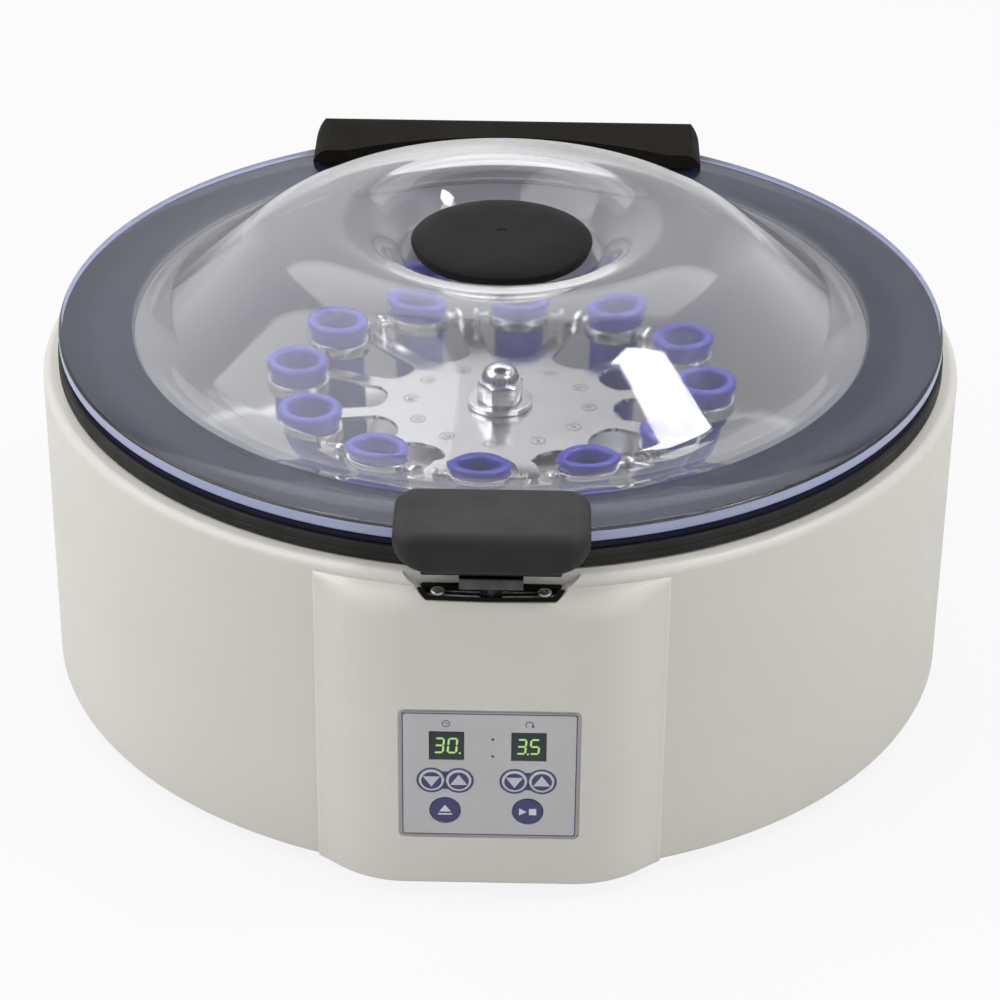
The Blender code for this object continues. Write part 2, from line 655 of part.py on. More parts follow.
def plate_outline():
    """Plan of the rotor plate: one slot after another round the axis."""
    outline = []
    for station in range(STATIONS):
        angle = math.radians(STATION_PHASE + station * 360 / STATIONS)
        for x, y in reversed(slot_outline()):
            outline.append((x * math.cos(angle) - y * math.sin(angle),
                            x * math.sin(angle) + y * math.cos(angle)))
    return outline


def make_rotor(parent, steel):
    bore = SHAFT_RADIUS + GAP
    flange_bottom = PLATE_BOTTOM - GAP - DRIVE_FLANGE
    shaft = [
        (0, SHAFT_BOTTOM),
        (SHAFT_RADIUS, SHAFT_BOTTOM),
        (SHAFT_RADIUS, SHAFT_COLLAR_BOTTOM),
        (SHAFT_COLLAR_RADIUS, SHAFT_COLLAR_BOTTOM),
        (SHAFT_COLLAR_RADIUS, flange_bottom),
        (DRIVE_FLANGE_RADIUS, flange_bottom),
        (DRIVE_FLANGE_RADIUS, PLATE_BOTTOM - GAP),
        (SHAFT_RADIUS, PLATE_BOTTOM - GAP),
        (SHAFT_RADIUS, SHAFT_TOP),
        (0, SHAFT_TOP),
    ]
    add_object("motor_shaft", turned(shaft, MIDDLE_SIDES), steel, parent)

    plate = add_object("rotor_plate", prism(plate_outline(), PLATE_BOTTOM, PLATE_TOP), steel, parent)
    lug_outline = [(PIVOT_RADIUS - LUG_RADIUS, PLATE_TOP - PLATE_THICKNESS / 2),
                   (PIVOT_RADIUS + LUG_RADIUS, PLATE_TOP - PLATE_THICKNESS / 2)]
    lug_outline += arc(PIVOT_RADIUS, PIVOT_HEIGHT, LUG_RADIUS, 0, 180, LUG_STEPS)
    near = SLOT_HALF_WIDTH + LUG_SETBACK
    far = near + LUG_THICKNESS
    lugs = []
    holes = []
    for station in range(STATIONS):
        angle = STATION_PHASE + station * 360 / STATIONS
        lugs.append(spun(prism(lug_outline, near, far, "Y"), angle))
        lugs.append(spun(prism(lug_outline, -far, -near, "Y"), angle))
        hole = rod(TRUNNION_RADIUS + GAP, -far - BITE / 2, far + BITE / 2, TINY_SIDES, "Y")
        holes.append(spun(moved(hole, x=PIVOT_RADIUS, z=PIVOT_HEIGHT), angle))
    join(plate, "lugs", *lugs)
    cut(plate, "trunnion_holes", *holes)
    cut(plate, "bore", rod(bore, PLATE_BOTTOM - OVERRUN, PLATE_TOP + OVERRUN, SMALL_SIDES))

    washer_bottom = PLATE_TOP + GAP
    washer_top = washer_bottom + WASHER_HEIGHT
    washer = [(0, washer_bottom), (WASHER_RADIUS, washer_bottom), (WASHER_RADIUS, washer_top),
              (0, washer_top)]
    nut = add_object("cap_nut", turned(washer, MIDDLE_SIDES), steel, parent)
    join(nut, "hexagon", rod(NUT_RADIUS, washer_top - BITE, NUT_TOP, HEXAGON_SIDES))
    dome_height = NUT_DOME_TOP - NUT_TOP
    dome = [(0, NUT_TOP - BITE), (NUT_DOME_RADIUS, NUT_TOP - BITE)]
    dome += [(NUT_DOME_RADIUS * math.cos(math.radians(angle)),
              NUT_TOP + dome_height * math.sin(math.radians(angle))) for angle in (0, 30, 60)]
    dome.append((0, NUT_DOME_TOP))
    join(nut, "dome", turned(dome, SMALL_SIDES))
    cut(nut, "bore", rod(bore, washer_bottom - OVERRUN, SHAFT_TOP + GAP, SMALL_SIDES))


# Buckets: plastic cups that hang by a collar in steel rings with two trunnions
BUCKET_FLOOR_ROOM = 13 * MM
BUCKET_DEPTH = PIVOT_HEIGHT - BOWL_FLOOR - BUCKET_FLOOR_ROOM
SLEEVE_RADIUS = RING_INNER_RADIUS - GAP
BUCKET_WALL = 1.7 * MM
BUCKET_BORE = SLEEVE_RADIUS - BUCKET_WALL
BUCKET_FLOOR = 3.5 * MM
BUCKET_ROUND = 6 * MM
COLLAR_RADIUS = RING_RADIUS
COLLAR_TOP = 12 * MM
COLLAR_CHAMFER = 1.2 * MM


def make_buckets(rotor, plastic, steel):
    collar_bottom = RING_HEIGHT / 2 + GAP
    cup = [
        (0, -BUCKET_DEPTH),
        (SLEEVE_RADIUS - BUCKET_ROUND, -BUCKET_DEPTH),
        (SLEEVE_RADIUS, BUCKET_ROUND - BUCKET_DEPTH),
        (SLEEVE_RADIUS, collar_bottom),
        (COLLAR_RADIUS, collar_bottom),
        (COLLAR_RADIUS, COLLAR_TOP - COLLAR_CHAMFER),
        (COLLAR_RADIUS - COLLAR_CHAMFER, COLLAR_TOP),
        (BUCKET_BORE, COLLAR_TOP),
        (BUCKET_BORE, BUCKET_ROUND - BUCKET_DEPTH),
        (0, BUCKET_FLOOR - BUCKET_DEPTH),
    ]
    ring = [
        (RING_INNER_RADIUS, -RING_HEIGHT / 2),
        (RING_RADIUS, -RING_HEIGHT / 2),
        (RING_RADIUS, RING_HEIGHT / 2),
        (RING_INNER_RADIUS, RING_HEIGHT / 2),
    ]
    root = (RING_INNER_RADIUS + RING_RADIUS) / 2
    for station in range(STATIONS):
        angle = math.radians(STATION_PHASE + station * 360 / STATIONS)
        pivot = add_empty(f"bucket_pivot_{station + 1:02d}", rotor,
                          (PIVOT_RADIUS * math.cos(angle), PIVOT_RADIUS * math.sin(angle), PIVOT_HEIGHT))
        pivot.rotation_euler.z = angle
        add_object(f"bucket_{station + 1:02d}", turned(cup, SMALL_SIDES), plastic, pivot)
        hoop = add_object(f"bucket_ring_{station + 1:02d}", turned(ring, SMALL_SIDES), steel, pivot)
        join(hoop, "trunnions", rod(TRUNNION_RADIUS, root, TRUNNION_REACH, TINY_SIDES, "Y"),
             rod(TRUNNION_RADIUS, -TRUNNION_REACH, -root, TINY_SIDES, "Y"))


# Lid: clear dome with a flange, its seal, cap, handle, striker and hinge carrier
FLANGE_THICKNESS = 5.7 * MM
FLANGE_BOTTOM_RISE = 3 * MM
FLANGE_BOTTOM = GASKET_TOP + FLANGE_BOTTOM_RISE
FLANGE_TOP = FLANGE_BOTTOM + FLANGE_THICKNESS
DOME_RISE = 40.2 * MM
LID_SUMMIT = FLANGE_TOP + DOME_RISE
FLANGE_ROUND = 1.5 * MM
DOME_WALL = 4 * MM
SUMMIT_RADIUS_SHARE = 0.36496
SUMMIT_RADIUS = LID_RADIUS * SUMMIT_RADIUS_SHARE
DOME_ARC_SHARE = 0.37058
DOME_ARC = LID_RADIUS * DOME_ARC_SHARE
DOME_SLOPE = 40
DOME_STEPS = 4
DOME_FOOT_SHARE = 0.80292
DOME_FOOT_RADIUS = LID_RADIUS * DOME_FOOT_SHARE
DOME_FILLET = 12 * MM
FILLET_STEPS = 2
DISH_SHARE = 0.61538
DISH_RADIUS = SUMMIT_RADIUS * DISH_SHARE
DISH_FLOOR_DROP = 13.5 * MM
DISH_FLOOR = LID_SUMMIT - DISH_FLOOR_DROP
DISH_STEPS = 3
DISH_SHAPE = 0.65
CAP_HOLE_SHARE = 0.45
CAP_HOLE = DISH_RADIUS * CAP_HOLE_SHARE
SEAL_INNER_OUTSET = 4.8 * MM
SEAL_INNER = DOME_FOOT_RADIUS + SEAL_INNER_OUTSET
SEAL_RADIUS_INSET = 0.9 * MM
SEAL_RADIUS = LID_RADIUS - SEAL_RADIUS_INSET


def dish_height(radius, floor, summit):
    """Height of the dish's wall, an ogee from its floor up to the dome's summit."""
    share = (radius - DISH_RADIUS) / (SUMMIT_RADIUS - DISH_RADIUS)
    return floor + (summit - floor) * (1 - math.cos(math.pi * share ** DISH_SHAPE)) / 2


def dome_surface(drop):
    """Profile from the cap's hole out to the end of the dome's arc, lowered by a wall."""
    floor = DISH_FLOOR - drop
    summit = LID_SUMMIT - drop
    points = [(CAP_HOLE, floor)]
    for step in range(DISH_STEPS):
        radius = DISH_RADIUS + (SUMMIT_RADIUS - DISH_RADIUS) * step / DISH_STEPS
        points.append((radius, dish_height(radius, floor, summit)))
    return points + arc(SUMMIT_RADIUS, LID_SUMMIT - DOME_ARC, DOME_ARC - drop, 90, 90 - DOME_SLOPE,
                        DOME_STEPS)


def make_dome(parent, offset, clear, rubber):
    slope = math.radians(DOME_SLOPE)
    outer = dome_surface(0)
    inner = dome_surface(DOME_WALL)
    fillet_start = DOME_FOOT_RADIUS - DOME_FILLET * math.sin(slope)
    fillet = arc(DOME_FOOT_RADIUS, FLANGE_TOP + DOME_FILLET, DOME_FILLET, -90 - DOME_SLOPE, -90,
                 FILLET_STEPS)
    wall_end = fillet_start - DOME_WALL * math.sin(slope)
    wall_height = fillet[0][1] - DOME_WALL * math.cos(slope)
    inner_foot = wall_end + (wall_height - FLANGE_BOTTOM) / math.tan(slope)
    rim = [
        (LID_RADIUS - FLANGE_ROUND, FLANGE_TOP),
        (LID_RADIUS, FLANGE_TOP - FLANGE_ROUND),
        (LID_RADIUS, FLANGE_BOTTOM + FLANGE_ROUND),
        (LID_RADIUS - FLANGE_ROUND, FLANGE_BOTTOM),
    ]
    profile = outer + fillet + rim + [(inner_foot, FLANGE_BOTTOM)] + inner[::-1]
    add_object("lid_dome", turned(profile, LARGE_SIDES), clear, parent, offset)

    seal_top = FLANGE_BOTTOM - GAP
    seal_bottom = GASKET_TOP + GAP
    seal = [(SEAL_INNER, seal_bottom), (SEAL_RADIUS, seal_bottom), (SEAL_RADIUS, seal_top),
            (SEAL_INNER, seal_top)]
    add_object("lid_seal", turned(seal, LARGE_SIDES), rubber, parent, offset)


CAP_RADIUS_SHARE = 0.91
CAP_RADIUS = DISH_RADIUS * CAP_RADIUS_SHARE
CAP_RIM_HEIGHT_RISE = 3.8 * MM
CAP_RIM_HEIGHT = DISH_FLOOR + CAP_RIM_HEIGHT_RISE
CAP_TOP_RISE = 4.3 * MM
CAP_TOP = CAP_RIM_HEIGHT + CAP_TOP_RISE
CAP_SEAT_SHARE = 0.875
CAP_SEAT_RADIUS = DISH_RADIUS * CAP_SEAT_SHARE
CAP_SHOULDER_SHARES = (0.92, 0.62)
CAP_RISE_SHARES = (0.55, 0.86)
CAP_BARB = 1 * MM
CAP_BARB_HEIGHT = 2.5 * MM
CAP_WALL = 2.4 * MM


def make_cap(parent, offset, finish):
    seat = DISH_FLOOR + GAP
    stem = CAP_HOLE - GAP
    barb_top = DISH_FLOOR - DOME_WALL - GAP
    rise = CAP_TOP - CAP_RIM_HEIGHT
    crown = [(CAP_RADIUS * across, CAP_RIM_HEIGHT + rise * up)
             for across, up in zip(CAP_SHOULDER_SHARES, CAP_RISE_SHARES)]
    profile = [
        (0, seat),
        (stem - CAP_WALL, seat),
        (stem - CAP_WALL, barb_top - CAP_BARB_HEIGHT),
        (stem, barb_top - CAP_BARB_HEIGHT),
        (stem + CAP_BARB, barb_top),
        (stem, barb_top),
        (stem, seat),
        (CAP_SEAT_RADIUS, seat),
        (CAP_RADIUS, CAP_RIM_HEIGHT),
        *crown,
        (0, CAP_TOP),
    ]
    add_object("vent_cap", turned(profile, MIDDLE_SIDES), finish, parent, offset)


def flange_room(top_of_flange):
    """The space that the flange, the seal and the gasket take inside the handle and carrier."""
    clear = LID_RADIUS + GAP
    gasket = GASKET_RADIUS + 2 * GAP
    step = FLANGE_BOTTOM - 2 * GAP
    low = DECK_TOP - OVERRUN
    return turned([(0, low), (gasket, low), (gasket, step), (clear, step), (clear, top_of_flange),
                   (0, top_of_flange)], 2 * LARGE_SIDES)


HANDLE_HALF_WIDTH = 35.5 * MM
HANDLE_BACK_INSET = 39 * MM
HANDLE_BACK = FRONT_REACH - HANDLE_BACK_INSET
HANDLE_TOP_RISE = 7.2 * MM
HANDLE_TOP = FLANGE_TOP + HANDLE_TOP_RISE
HANDLE_BOTTOM_RISE = 3 * MM
HANDLE_BOTTOM = DECK_TOP + HANDLE_BOTTOM_RISE
HANDLE_CORNER = 9 * MM
HANDLE_LOWER_CORNER = 9.5 * MM
HANDLE_TOP_ROUND = 3.5 * MM
HANDLE_STEPS = 3
STRIKER_HALF_WIDTH = 11.5 * MM
STRIKER_PLATE = 2 * MM
STRIKER_HALF_DEPTH = 3.8 * MM
STRIKER_PLATE_Y_INSET = 10.3 * MM
STRIKER_PLATE_Y = STRIKER_PLATE_Y_INSET - FRONT_REACH
HOOK_BOTTOM_DROP = 16.1 * MM
HOOK_BOTTOM = NOTCH_FLOOR - HOOK_BOTTOM_DROP
BOLT_Z_DROP = 9.8 * MM
BOLT_Z = NOTCH_FLOOR - BOLT_Z_DROP
BOLT_HALF_DEPTH = 1.5 * MM
BOLT_HALF_HEIGHT = 2 * MM
BOLT_ROOM = 0.6 * MM


def make_handle(parent, offset, finish, steel):
    front_view = arc(HANDLE_HALF_WIDTH - HANDLE_LOWER_CORNER, HANDLE_BOTTOM + HANDLE_LOWER_CORNER,
                     HANDLE_LOWER_CORNER, -90, 0, HANDLE_STEPS)
    front_view += arc(HANDLE_HALF_WIDTH - HANDLE_TOP_ROUND, HANDLE_TOP - HANDLE_TOP_ROUND,
                      HANDLE_TOP_ROUND, 0, 90, HANDLE_STEPS)
    front_view += [(-x, z) for x, z in reversed(front_view)]
    handle = add_object("latch_handle", prism(front_view, -FRONT_REACH, -HANDLE_BACK, "Y"), finish,
                        parent, offset)
    side_view = [(-FRONT_REACH, HANDLE_BOTTOM - BITE), (-HANDLE_BACK, HANDLE_BOTTOM - BITE),
                 (-HANDLE_BACK, HANDLE_TOP - HANDLE_TOP_ROUND / 2),
                 (-HANDLE_BACK - HANDLE_TOP_ROUND / 2, HANDLE_TOP)]
    side_view += arc(HANDLE_TOP_ROUND - FRONT_REACH, HANDLE_TOP - HANDLE_TOP_ROUND, HANDLE_TOP_ROUND,
                     90, 180, HANDLE_STEPS)
    width = HANDLE_HALF_WIDTH + BITE
    shape_with(handle, "side_view", prism(side_view, -width, width, "X"), "INTERSECT")
    plan = rounded_rectangle(-HANDLE_HALF_WIDTH, HANDLE_HALF_WIDTH, -FRONT_REACH, -HANDLE_BACK,
                             HANDLE_CORNER, HANDLE_STEPS)
    shape_with(handle, "plan", prism(plan, HANDLE_BOTTOM - OVERRUN, HANDLE_TOP + OVERRUN), "INTERSECT")
    cut(handle, "flange_room", flange_room(FLANGE_TOP + GAP))

    plate_top = HANDLE_BOTTOM - GAP
    striker = add_object(
        "latch_striker",
        box((-STRIKER_HALF_WIDTH, STRIKER_PLATE_Y - STRIKER_HALF_DEPTH, plate_top - STRIKER_PLATE),
            (STRIKER_HALF_WIDTH, STRIKER_PLATE_Y + STRIKER_HALF_DEPTH, plate_top)),
        steel, parent, offset)
    hook_low, hook_high = HOOK_Y - HOOK_HALF_DEPTH, HOOK_Y + HOOK_HALF_DEPTH
    hook = box((-HOOK_HALF_THICKNESS, hook_low, HOOK_BOTTOM),
               (HOOK_HALF_THICKNESS, hook_high, plate_top - STRIKER_PLATE / 2))
    join(striker, "hook", hook)
    across = HOOK_HALF_THICKNESS + BITE
    deep = BOLT_HALF_DEPTH + BOLT_ROOM
    high = BOLT_HALF_HEIGHT + BOLT_ROOM
    cut(striker, "bolt_window", box((-across, HOOK_Y - deep, BOLT_Z - high),
                                    (across, HOOK_Y + deep, BOLT_Z + high)))


# Latch parts in the housing
LATCH_PLATE_THICKNESS = 2.5 * MM
LATCH_PLATE_FRONT_INSET = 5.2 * MM
LATCH_PLATE_FRONT = FRONT_REACH - LATCH_PLATE_FRONT_INSET
LATCH_SCREW_X = 17 * MM
LATCH_SCREW_RADIUS = 3 * MM
LATCH_SCREW_HEIGHT = 1.2 * MM
BOLT_LENGTH = 27 * MM
BOLT_REST = 1.2 * MM
SOLENOID_START = 14 * MM
SOLENOID_END = 40 * MM
SOLENOID_FRONT_INSET = 9 * MM
SOLENOID_FRONT = FRONT_REACH - SOLENOID_FRONT_INSET
SOLENOID_BACK_INSET = 20 * MM
SOLENOID_BACK = FRONT_REACH - SOLENOID_BACK_INSET


def make_latch(parent, plastic, steel, coil):
    low = NOTCH_FLOOR + GAP
    high = low + LATCH_PLATE_THICKNESS
    front_view = [(x - math.copysign(GAP, x), z) for x, z in notch_outline(low, high)]
    plate = add_object("latch_plate",
                       prism(front_view, -LATCH_PLATE_FRONT, -NOTCH_BACK - GAP, "Y"), plastic, parent)
    left, right, front, back = hook_slot(0)
    cut(plate, "hook_slot", box((left, front, low - OVERRUN), (right, back, high + OVERRUN)))
    screw_y = -(LATCH_PLATE_FRONT + NOTCH_BACK) / 2
    for side in (-1, 1):
        head = rod(LATCH_SCREW_RADIUS, high - BITE, high + LATCH_SCREW_HEIGHT, TINY_SIDES)
        join(plate, f"screw_{side}", moved(head, x=side * LATCH_SCREW_X, y=screw_y))

    start = HOOK_HALF_THICKNESS + BOLT_REST
    bolt = box((0, -BOLT_HALF_DEPTH, -BOLT_HALF_HEIGHT), (BOLT_LENGTH, BOLT_HALF_DEPTH, BOLT_HALF_HEIGHT))
    add_object("latch_bolt", bolt, steel, parent, (start, HOOK_Y, BOLT_Z))

    top = CONSOLE_CAVITY_TOP - GAP
    bottom = 2 * BOLT_Z - top
    solenoid = add_object("latch_solenoid",
                          box((SOLENOID_START, -SOLENOID_FRONT, bottom),
                              (SOLENOID_END, -SOLENOID_BACK, top)), coil, parent)
    bolt_end = start + BOLT_LENGTH
    cut(solenoid, "bolt_bore",
        box((SOLENOID_START - BITE, HOOK_Y - BOLT_HALF_DEPTH - GAP, BOLT_Z - BOLT_HALF_HEIGHT - GAP),
            (bolt_end + GAP, HOOK_Y + BOLT_HALF_DEPTH + GAP, BOLT_Z + BOLT_HALF_HEIGHT + GAP)))


# Hinge: carrier on the lid, bracket on the housing and the pin through both
HINGE_Y_OUTSET = 18 * MM
HINGE_Y = BODY_RADIUS + HINGE_Y_OUTSET
HINGE_Z_RISE = 3 * MM
HINGE_Z = DECK_TOP + HINGE_Z_RISE
KNUCKLE_RADIUS = 5.5 * MM
PIN_RADIUS = 2.5 * MM
PIN_HALF_LENGTH = 71 * MM
PIN_HEAD_RADIUS = 3.6 * MM
PIN_HEAD = 1.5 * MM
KNUCKLE_NEAR = 60 * MM
KNUCKLE_FAR = 70 * MM
BRACKET_NEAR = 51 * MM
BRACKET_FAR = 59 * MM
BRACKET_BASE = 2.5 * MM
BRACKET_BASE_HALF_DEPTH = 11 * MM
BRACKET_BASE_HALF_WIDTH = 66 * MM
CARRIER_HALF_WIDTH = 86 * MM
CARRIER_FRONT_INSET = 45 * MM
CARRIER_FRONT = BODY_RADIUS - CARRIER_FRONT_INSET
CARRIER_BACK_OUTSET = 1 * MM
CARRIER_BACK = BODY_RADIUS + CARRIER_BACK_OUTSET
CARRIER_TOP_RISE = 6.2 * MM
CARRIER_TOP = FLANGE_TOP + CARRIER_TOP_RISE
CARRIER_BOTTOM_RISE = 5.5 * MM
CARRIER_BOTTOM = DECK_TOP + CARRIER_BOTTOM_RISE
CARRIER_BACK_ROUND = 14 * MM
CARRIER_CORNER = 4 * MM
CARRIER_FACE_RADIUS_OUTSET = 14 * MM
CARRIER_FACE_RADIUS = DOME_FOOT_RADIUS + CARRIER_FACE_RADIUS_OUTSET
CARRIER_STEPS = 3
LUG_TOP_STEPS = 6
KNUCKLE_STEPS = 8
KNUCKLE_START_TURN = -150


def make_carrier(parent, offset, finish):
    side_view = [(CARRIER_FRONT, CARRIER_BOTTOM), (CARRIER_BACK, CARRIER_BOTTOM)]
    side_view += arc(CARRIER_BACK - CARRIER_BACK_ROUND, CARRIER_TOP - CARRIER_BACK_ROUND,
                     CARRIER_BACK_ROUND, 0, 90, CARRIER_STEPS)
    side_view.append((CARRIER_FRONT, CARRIER_TOP))
    carrier = add_object("hinge_carrier",
                         prism(side_view, -CARRIER_HALF_WIDTH, CARRIER_HALF_WIDTH, "X"),
                         finish, parent, offset)
    front_view = rounded_rectangle(-CARRIER_HALF_WIDTH, CARRIER_HALF_WIDTH,
                                   CARRIER_BOTTOM - 2 * CARRIER_CORNER, CARRIER_TOP,
                                   CARRIER_CORNER, CORNER_STEPS)
    shape_with(carrier, "front_view",
               prism(front_view, CARRIER_FRONT - BITE, CARRIER_BACK + BITE, "Y"), "INTERSECT")
    face = rod(CARRIER_FACE_RADIUS, DECK_TOP, CARRIER_TOP + OVERRUN, 2 * LARGE_SIDES)
    cut(carrier, "face", face)
    cut(carrier, "flange_room", flange_room(FLANGE_TOP + GAP))
    arms = []
    holes = []
    for side in (-1, 1):
        start, end = sorted((side * KNUCKLE_NEAR, side * KNUCKLE_FAR))
        arm = [(CARRIER_BACK - CARRIER_BACK_ROUND / 2, HINGE_Z + KNUCKLE_RADIUS)]
        arm.append((CARRIER_BACK - CARRIER_BACK_ROUND / 2, CARRIER_BOTTOM + BITE))
        arm += arc(HINGE_Y, HINGE_Z, KNUCKLE_RADIUS, KNUCKLE_START_TURN, 90, KNUCKLE_STEPS)
        arms.append(prism(arm, start, end, "X"))
        hole = rod(PIN_RADIUS + GAP, start - BITE, end + BITE, TINY_SIDES, "X")
        holes.append(moved(hole, y=HINGE_Y, z=HINGE_Z))
    join(carrier, "knuckles", *arms)
    cut(carrier, "pin_holes", *holes)


def make_hinge_base(parent, steel):
    base_bottom = REAR_BOX_TOP + GAP
    base_top = base_bottom + BRACKET_BASE
    bracket = add_object("hinge_bracket",
                         box((-BRACKET_BASE_HALF_WIDTH, HINGE_Y - BRACKET_BASE_HALF_DEPTH, base_bottom),
                             (BRACKET_BASE_HALF_WIDTH, HINGE_Y + BRACKET_BASE_HALF_DEPTH, base_top)),
                         steel, parent)
    lugs = []
    holes = []
    for side in (-1, 1):
        start, end = sorted((side * BRACKET_NEAR, side * BRACKET_FAR))
        root = base_bottom + BITE
        lug = [(HINGE_Y - KNUCKLE_RADIUS, root), (HINGE_Y + KNUCKLE_RADIUS, root)]
        lug += arc(HINGE_Y, HINGE_Z, KNUCKLE_RADIUS, 0, 180, LUG_TOP_STEPS)
        lugs.append(prism(lug, start, end, "X"))
        hole = rod(PIN_RADIUS + GAP, start - BITE, end + BITE, TINY_SIDES, "X")
        holes.append(moved(hole, y=HINGE_Y, z=HINGE_Z))
    join(bracket, "lugs", *lugs)
    cut(bracket, "pin_holes", *holes)
    head = PIN_HALF_LENGTH + PIN_HEAD
    pin = [(0, -head), (PIN_HEAD_RADIUS, -head), (PIN_HEAD_RADIUS, -PIN_HALF_LENGTH),
           (PIN_RADIUS, -PIN_HALF_LENGTH), (PIN_RADIUS, PIN_HALF_LENGTH),
           (PIN_HEAD_RADIUS, PIN_HALF_LENGTH), (PIN_HEAD_RADIUS, head), (0, head)]
    add_object("hinge_pin", turned(pin, TINY_SIDES, "X"), steel, parent, (0, HINGE_Y, HINGE_Z))


# Keypad panel, display windows, keys and the board behind them
KEY_DEPTH = 2.2 * MM
KEY_PROUD = 0.3 * MM
KEY_TRAVEL_ROOM = 0.7 * MM
KEY_RADIUS = 4.7 * MM
ROUND_KEY_RADIUS = 5.6 * MM
PAIR_HALF = 5.05 * MM
LEFT_COLUMN = -16.3 * MM
RIGHT_COLUMN = 14.4 * MM
PAIR_Z = 53.4 * MM
ROUND_Z = 39.9 * MM
KEYS = {
    "time_down_key": (LEFT_COLUMN - PAIR_HALF, PAIR_Z, KEY_RADIUS),
    "time_up_key": (LEFT_COLUMN + PAIR_HALF, PAIR_Z, KEY_RADIUS),
    "speed_down_key": (RIGHT_COLUMN - PAIR_HALF, PAIR_Z, KEY_RADIUS),
    "speed_up_key": (RIGHT_COLUMN + PAIR_HALF, PAIR_Z, KEY_RADIUS),
    "open_key": (LEFT_COLUMN, ROUND_Z, ROUND_KEY_RADIUS),
    "start_stop_key": (RIGHT_COLUMN, ROUND_Z, ROUND_KEY_RADIUS),
}
DISPLAY_XS = (-15.8 * MM, 14.5 * MM)
DISPLAY_Z = 68.8 * MM
DISPLAY_HALF_WIDTH = 6.5 * MM
DISPLAY_HALF_HEIGHT = 6.35 * MM
DISPLAY_INSET = 0.2 * MM
LENS_BAR_HALF_WIDTH = 24 * MM
LENS_BAR_HALF_HEIGHT = 6 * MM
LENS_BAR = 1.4 * MM
BOARD_THICKNESS = 1.6 * MM
BOARD_MARGIN = 1.5 * MM
TRANSFORMER_HALF_WIDTH = 12 * MM
TRANSFORMER_HALF_HEIGHT = 10 * MM
TRANSFORMER_DEPTH = 7 * MM


def make_keypad(parent, panel_finish, lens, key_finish, board_finish):
    front = -CONSOLE_REACH
    skin_back = front + PANEL_SKIN
    skin = rounded_rectangle(-PANEL_HALF_WIDTH, PANEL_HALF_WIDTH, PANEL_CENTRE_Z - PANEL_HALF_HEIGHT,
                             PANEL_CENTRE_Z + PANEL_HALF_HEIGHT, PANEL_CORNER, CORNER_STEPS)
    panel = add_object("keypad_panel", prism(skin, front, skin_back, "Y"), panel_finish, parent)
    half_width = PANEL_HALF_WIDTH - WINDOW_MARGIN
    half_height = PANEL_HALF_HEIGHT - WINDOW_MARGIN
    back = skin_back + PANEL_BACK_DEPTH
    join(panel, "back", box((-half_width, skin_back - PANEL_SKIN / 2, PANEL_CENTRE_Z - half_height),
                            (half_width, back, PANEL_CENTRE_Z + half_height)))
    pockets = []
    for name, (x, z, radius) in KEYS.items():
        key = rod(radius, 0, KEY_DEPTH, SMALL_SIDES, "Y")
        add_object(name, key, key_finish, parent, (x, front - KEY_PROUD, z))
        pocket_end = front - KEY_PROUD + KEY_DEPTH + KEY_TRAVEL_ROOM
        pocket = rod(radius + GAP, front - OVERRUN, pocket_end, SMALL_SIDES, "Y")
        pockets.append(moved(pocket, x=x, z=z))
    cut(panel, "key_pockets", pockets[0], pockets[2], *pockets[4:])
    cut(panel, "up_key_pockets", pockets[1], pockets[3])
    bar_front = skin_back + GAP
    bar_back = bar_front + LENS_BAR
    low, high = DISPLAY_Z - LENS_BAR_HALF_HEIGHT, DISPLAY_Z + LENS_BAR_HALF_HEIGHT
    lens_part = add_object("display_window",
                           box((-LENS_BAR_HALF_WIDTH, bar_front, low),
                               (LENS_BAR_HALF_WIDTH, bar_back, high)), lens, parent)
    windows = []
    openings = [box((-LENS_BAR_HALF_WIDTH - GAP, skin_back, low - GAP),
                    (LENS_BAR_HALF_WIDTH + GAP, back + OVERRUN, high + GAP))]
    for x in DISPLAY_XS:
        left, right = x - DISPLAY_HALF_WIDTH, x + DISPLAY_HALF_WIDTH
        low, high = DISPLAY_Z - DISPLAY_HALF_HEIGHT, DISPLAY_Z + DISPLAY_HALF_HEIGHT
        windows.append(box((left, front + DISPLAY_INSET, low), (right, bar_back, high)))
        openings.append(box((left - GAP, front - OVERRUN, low - GAP),
                            (right + GAP, back + 2 * OVERRUN, high + GAP)))
    join(lens_part, "windows", *windows)
    cut(panel, "display_room", openings[0])
    cut(panel, "display_openings", *openings[1:])

    board_front = back + GAP
    board_back = board_front + BOARD_THICKNESS
    board = add_object(
        "control_board",
        box((BOARD_MARGIN - half_width, board_front, PANEL_CENTRE_Z + BOARD_MARGIN - half_height),
            (half_width - BOARD_MARGIN, board_back, PANEL_CENTRE_Z + half_height - BOARD_MARGIN)),
        board_finish, parent)
    join(board, "transformer",
         box((-TRANSFORMER_HALF_WIDTH, board_front + BOARD_THICKNESS / 2,
              PANEL_CENTRE_Z - TRANSFORMER_HALF_HEIGHT),
             (TRANSFORMER_HALF_WIDTH, board_back + TRANSFORMER_DEPTH,
              PANEL_CENTRE_Z + TRANSFORMER_HALF_HEIGHT)))


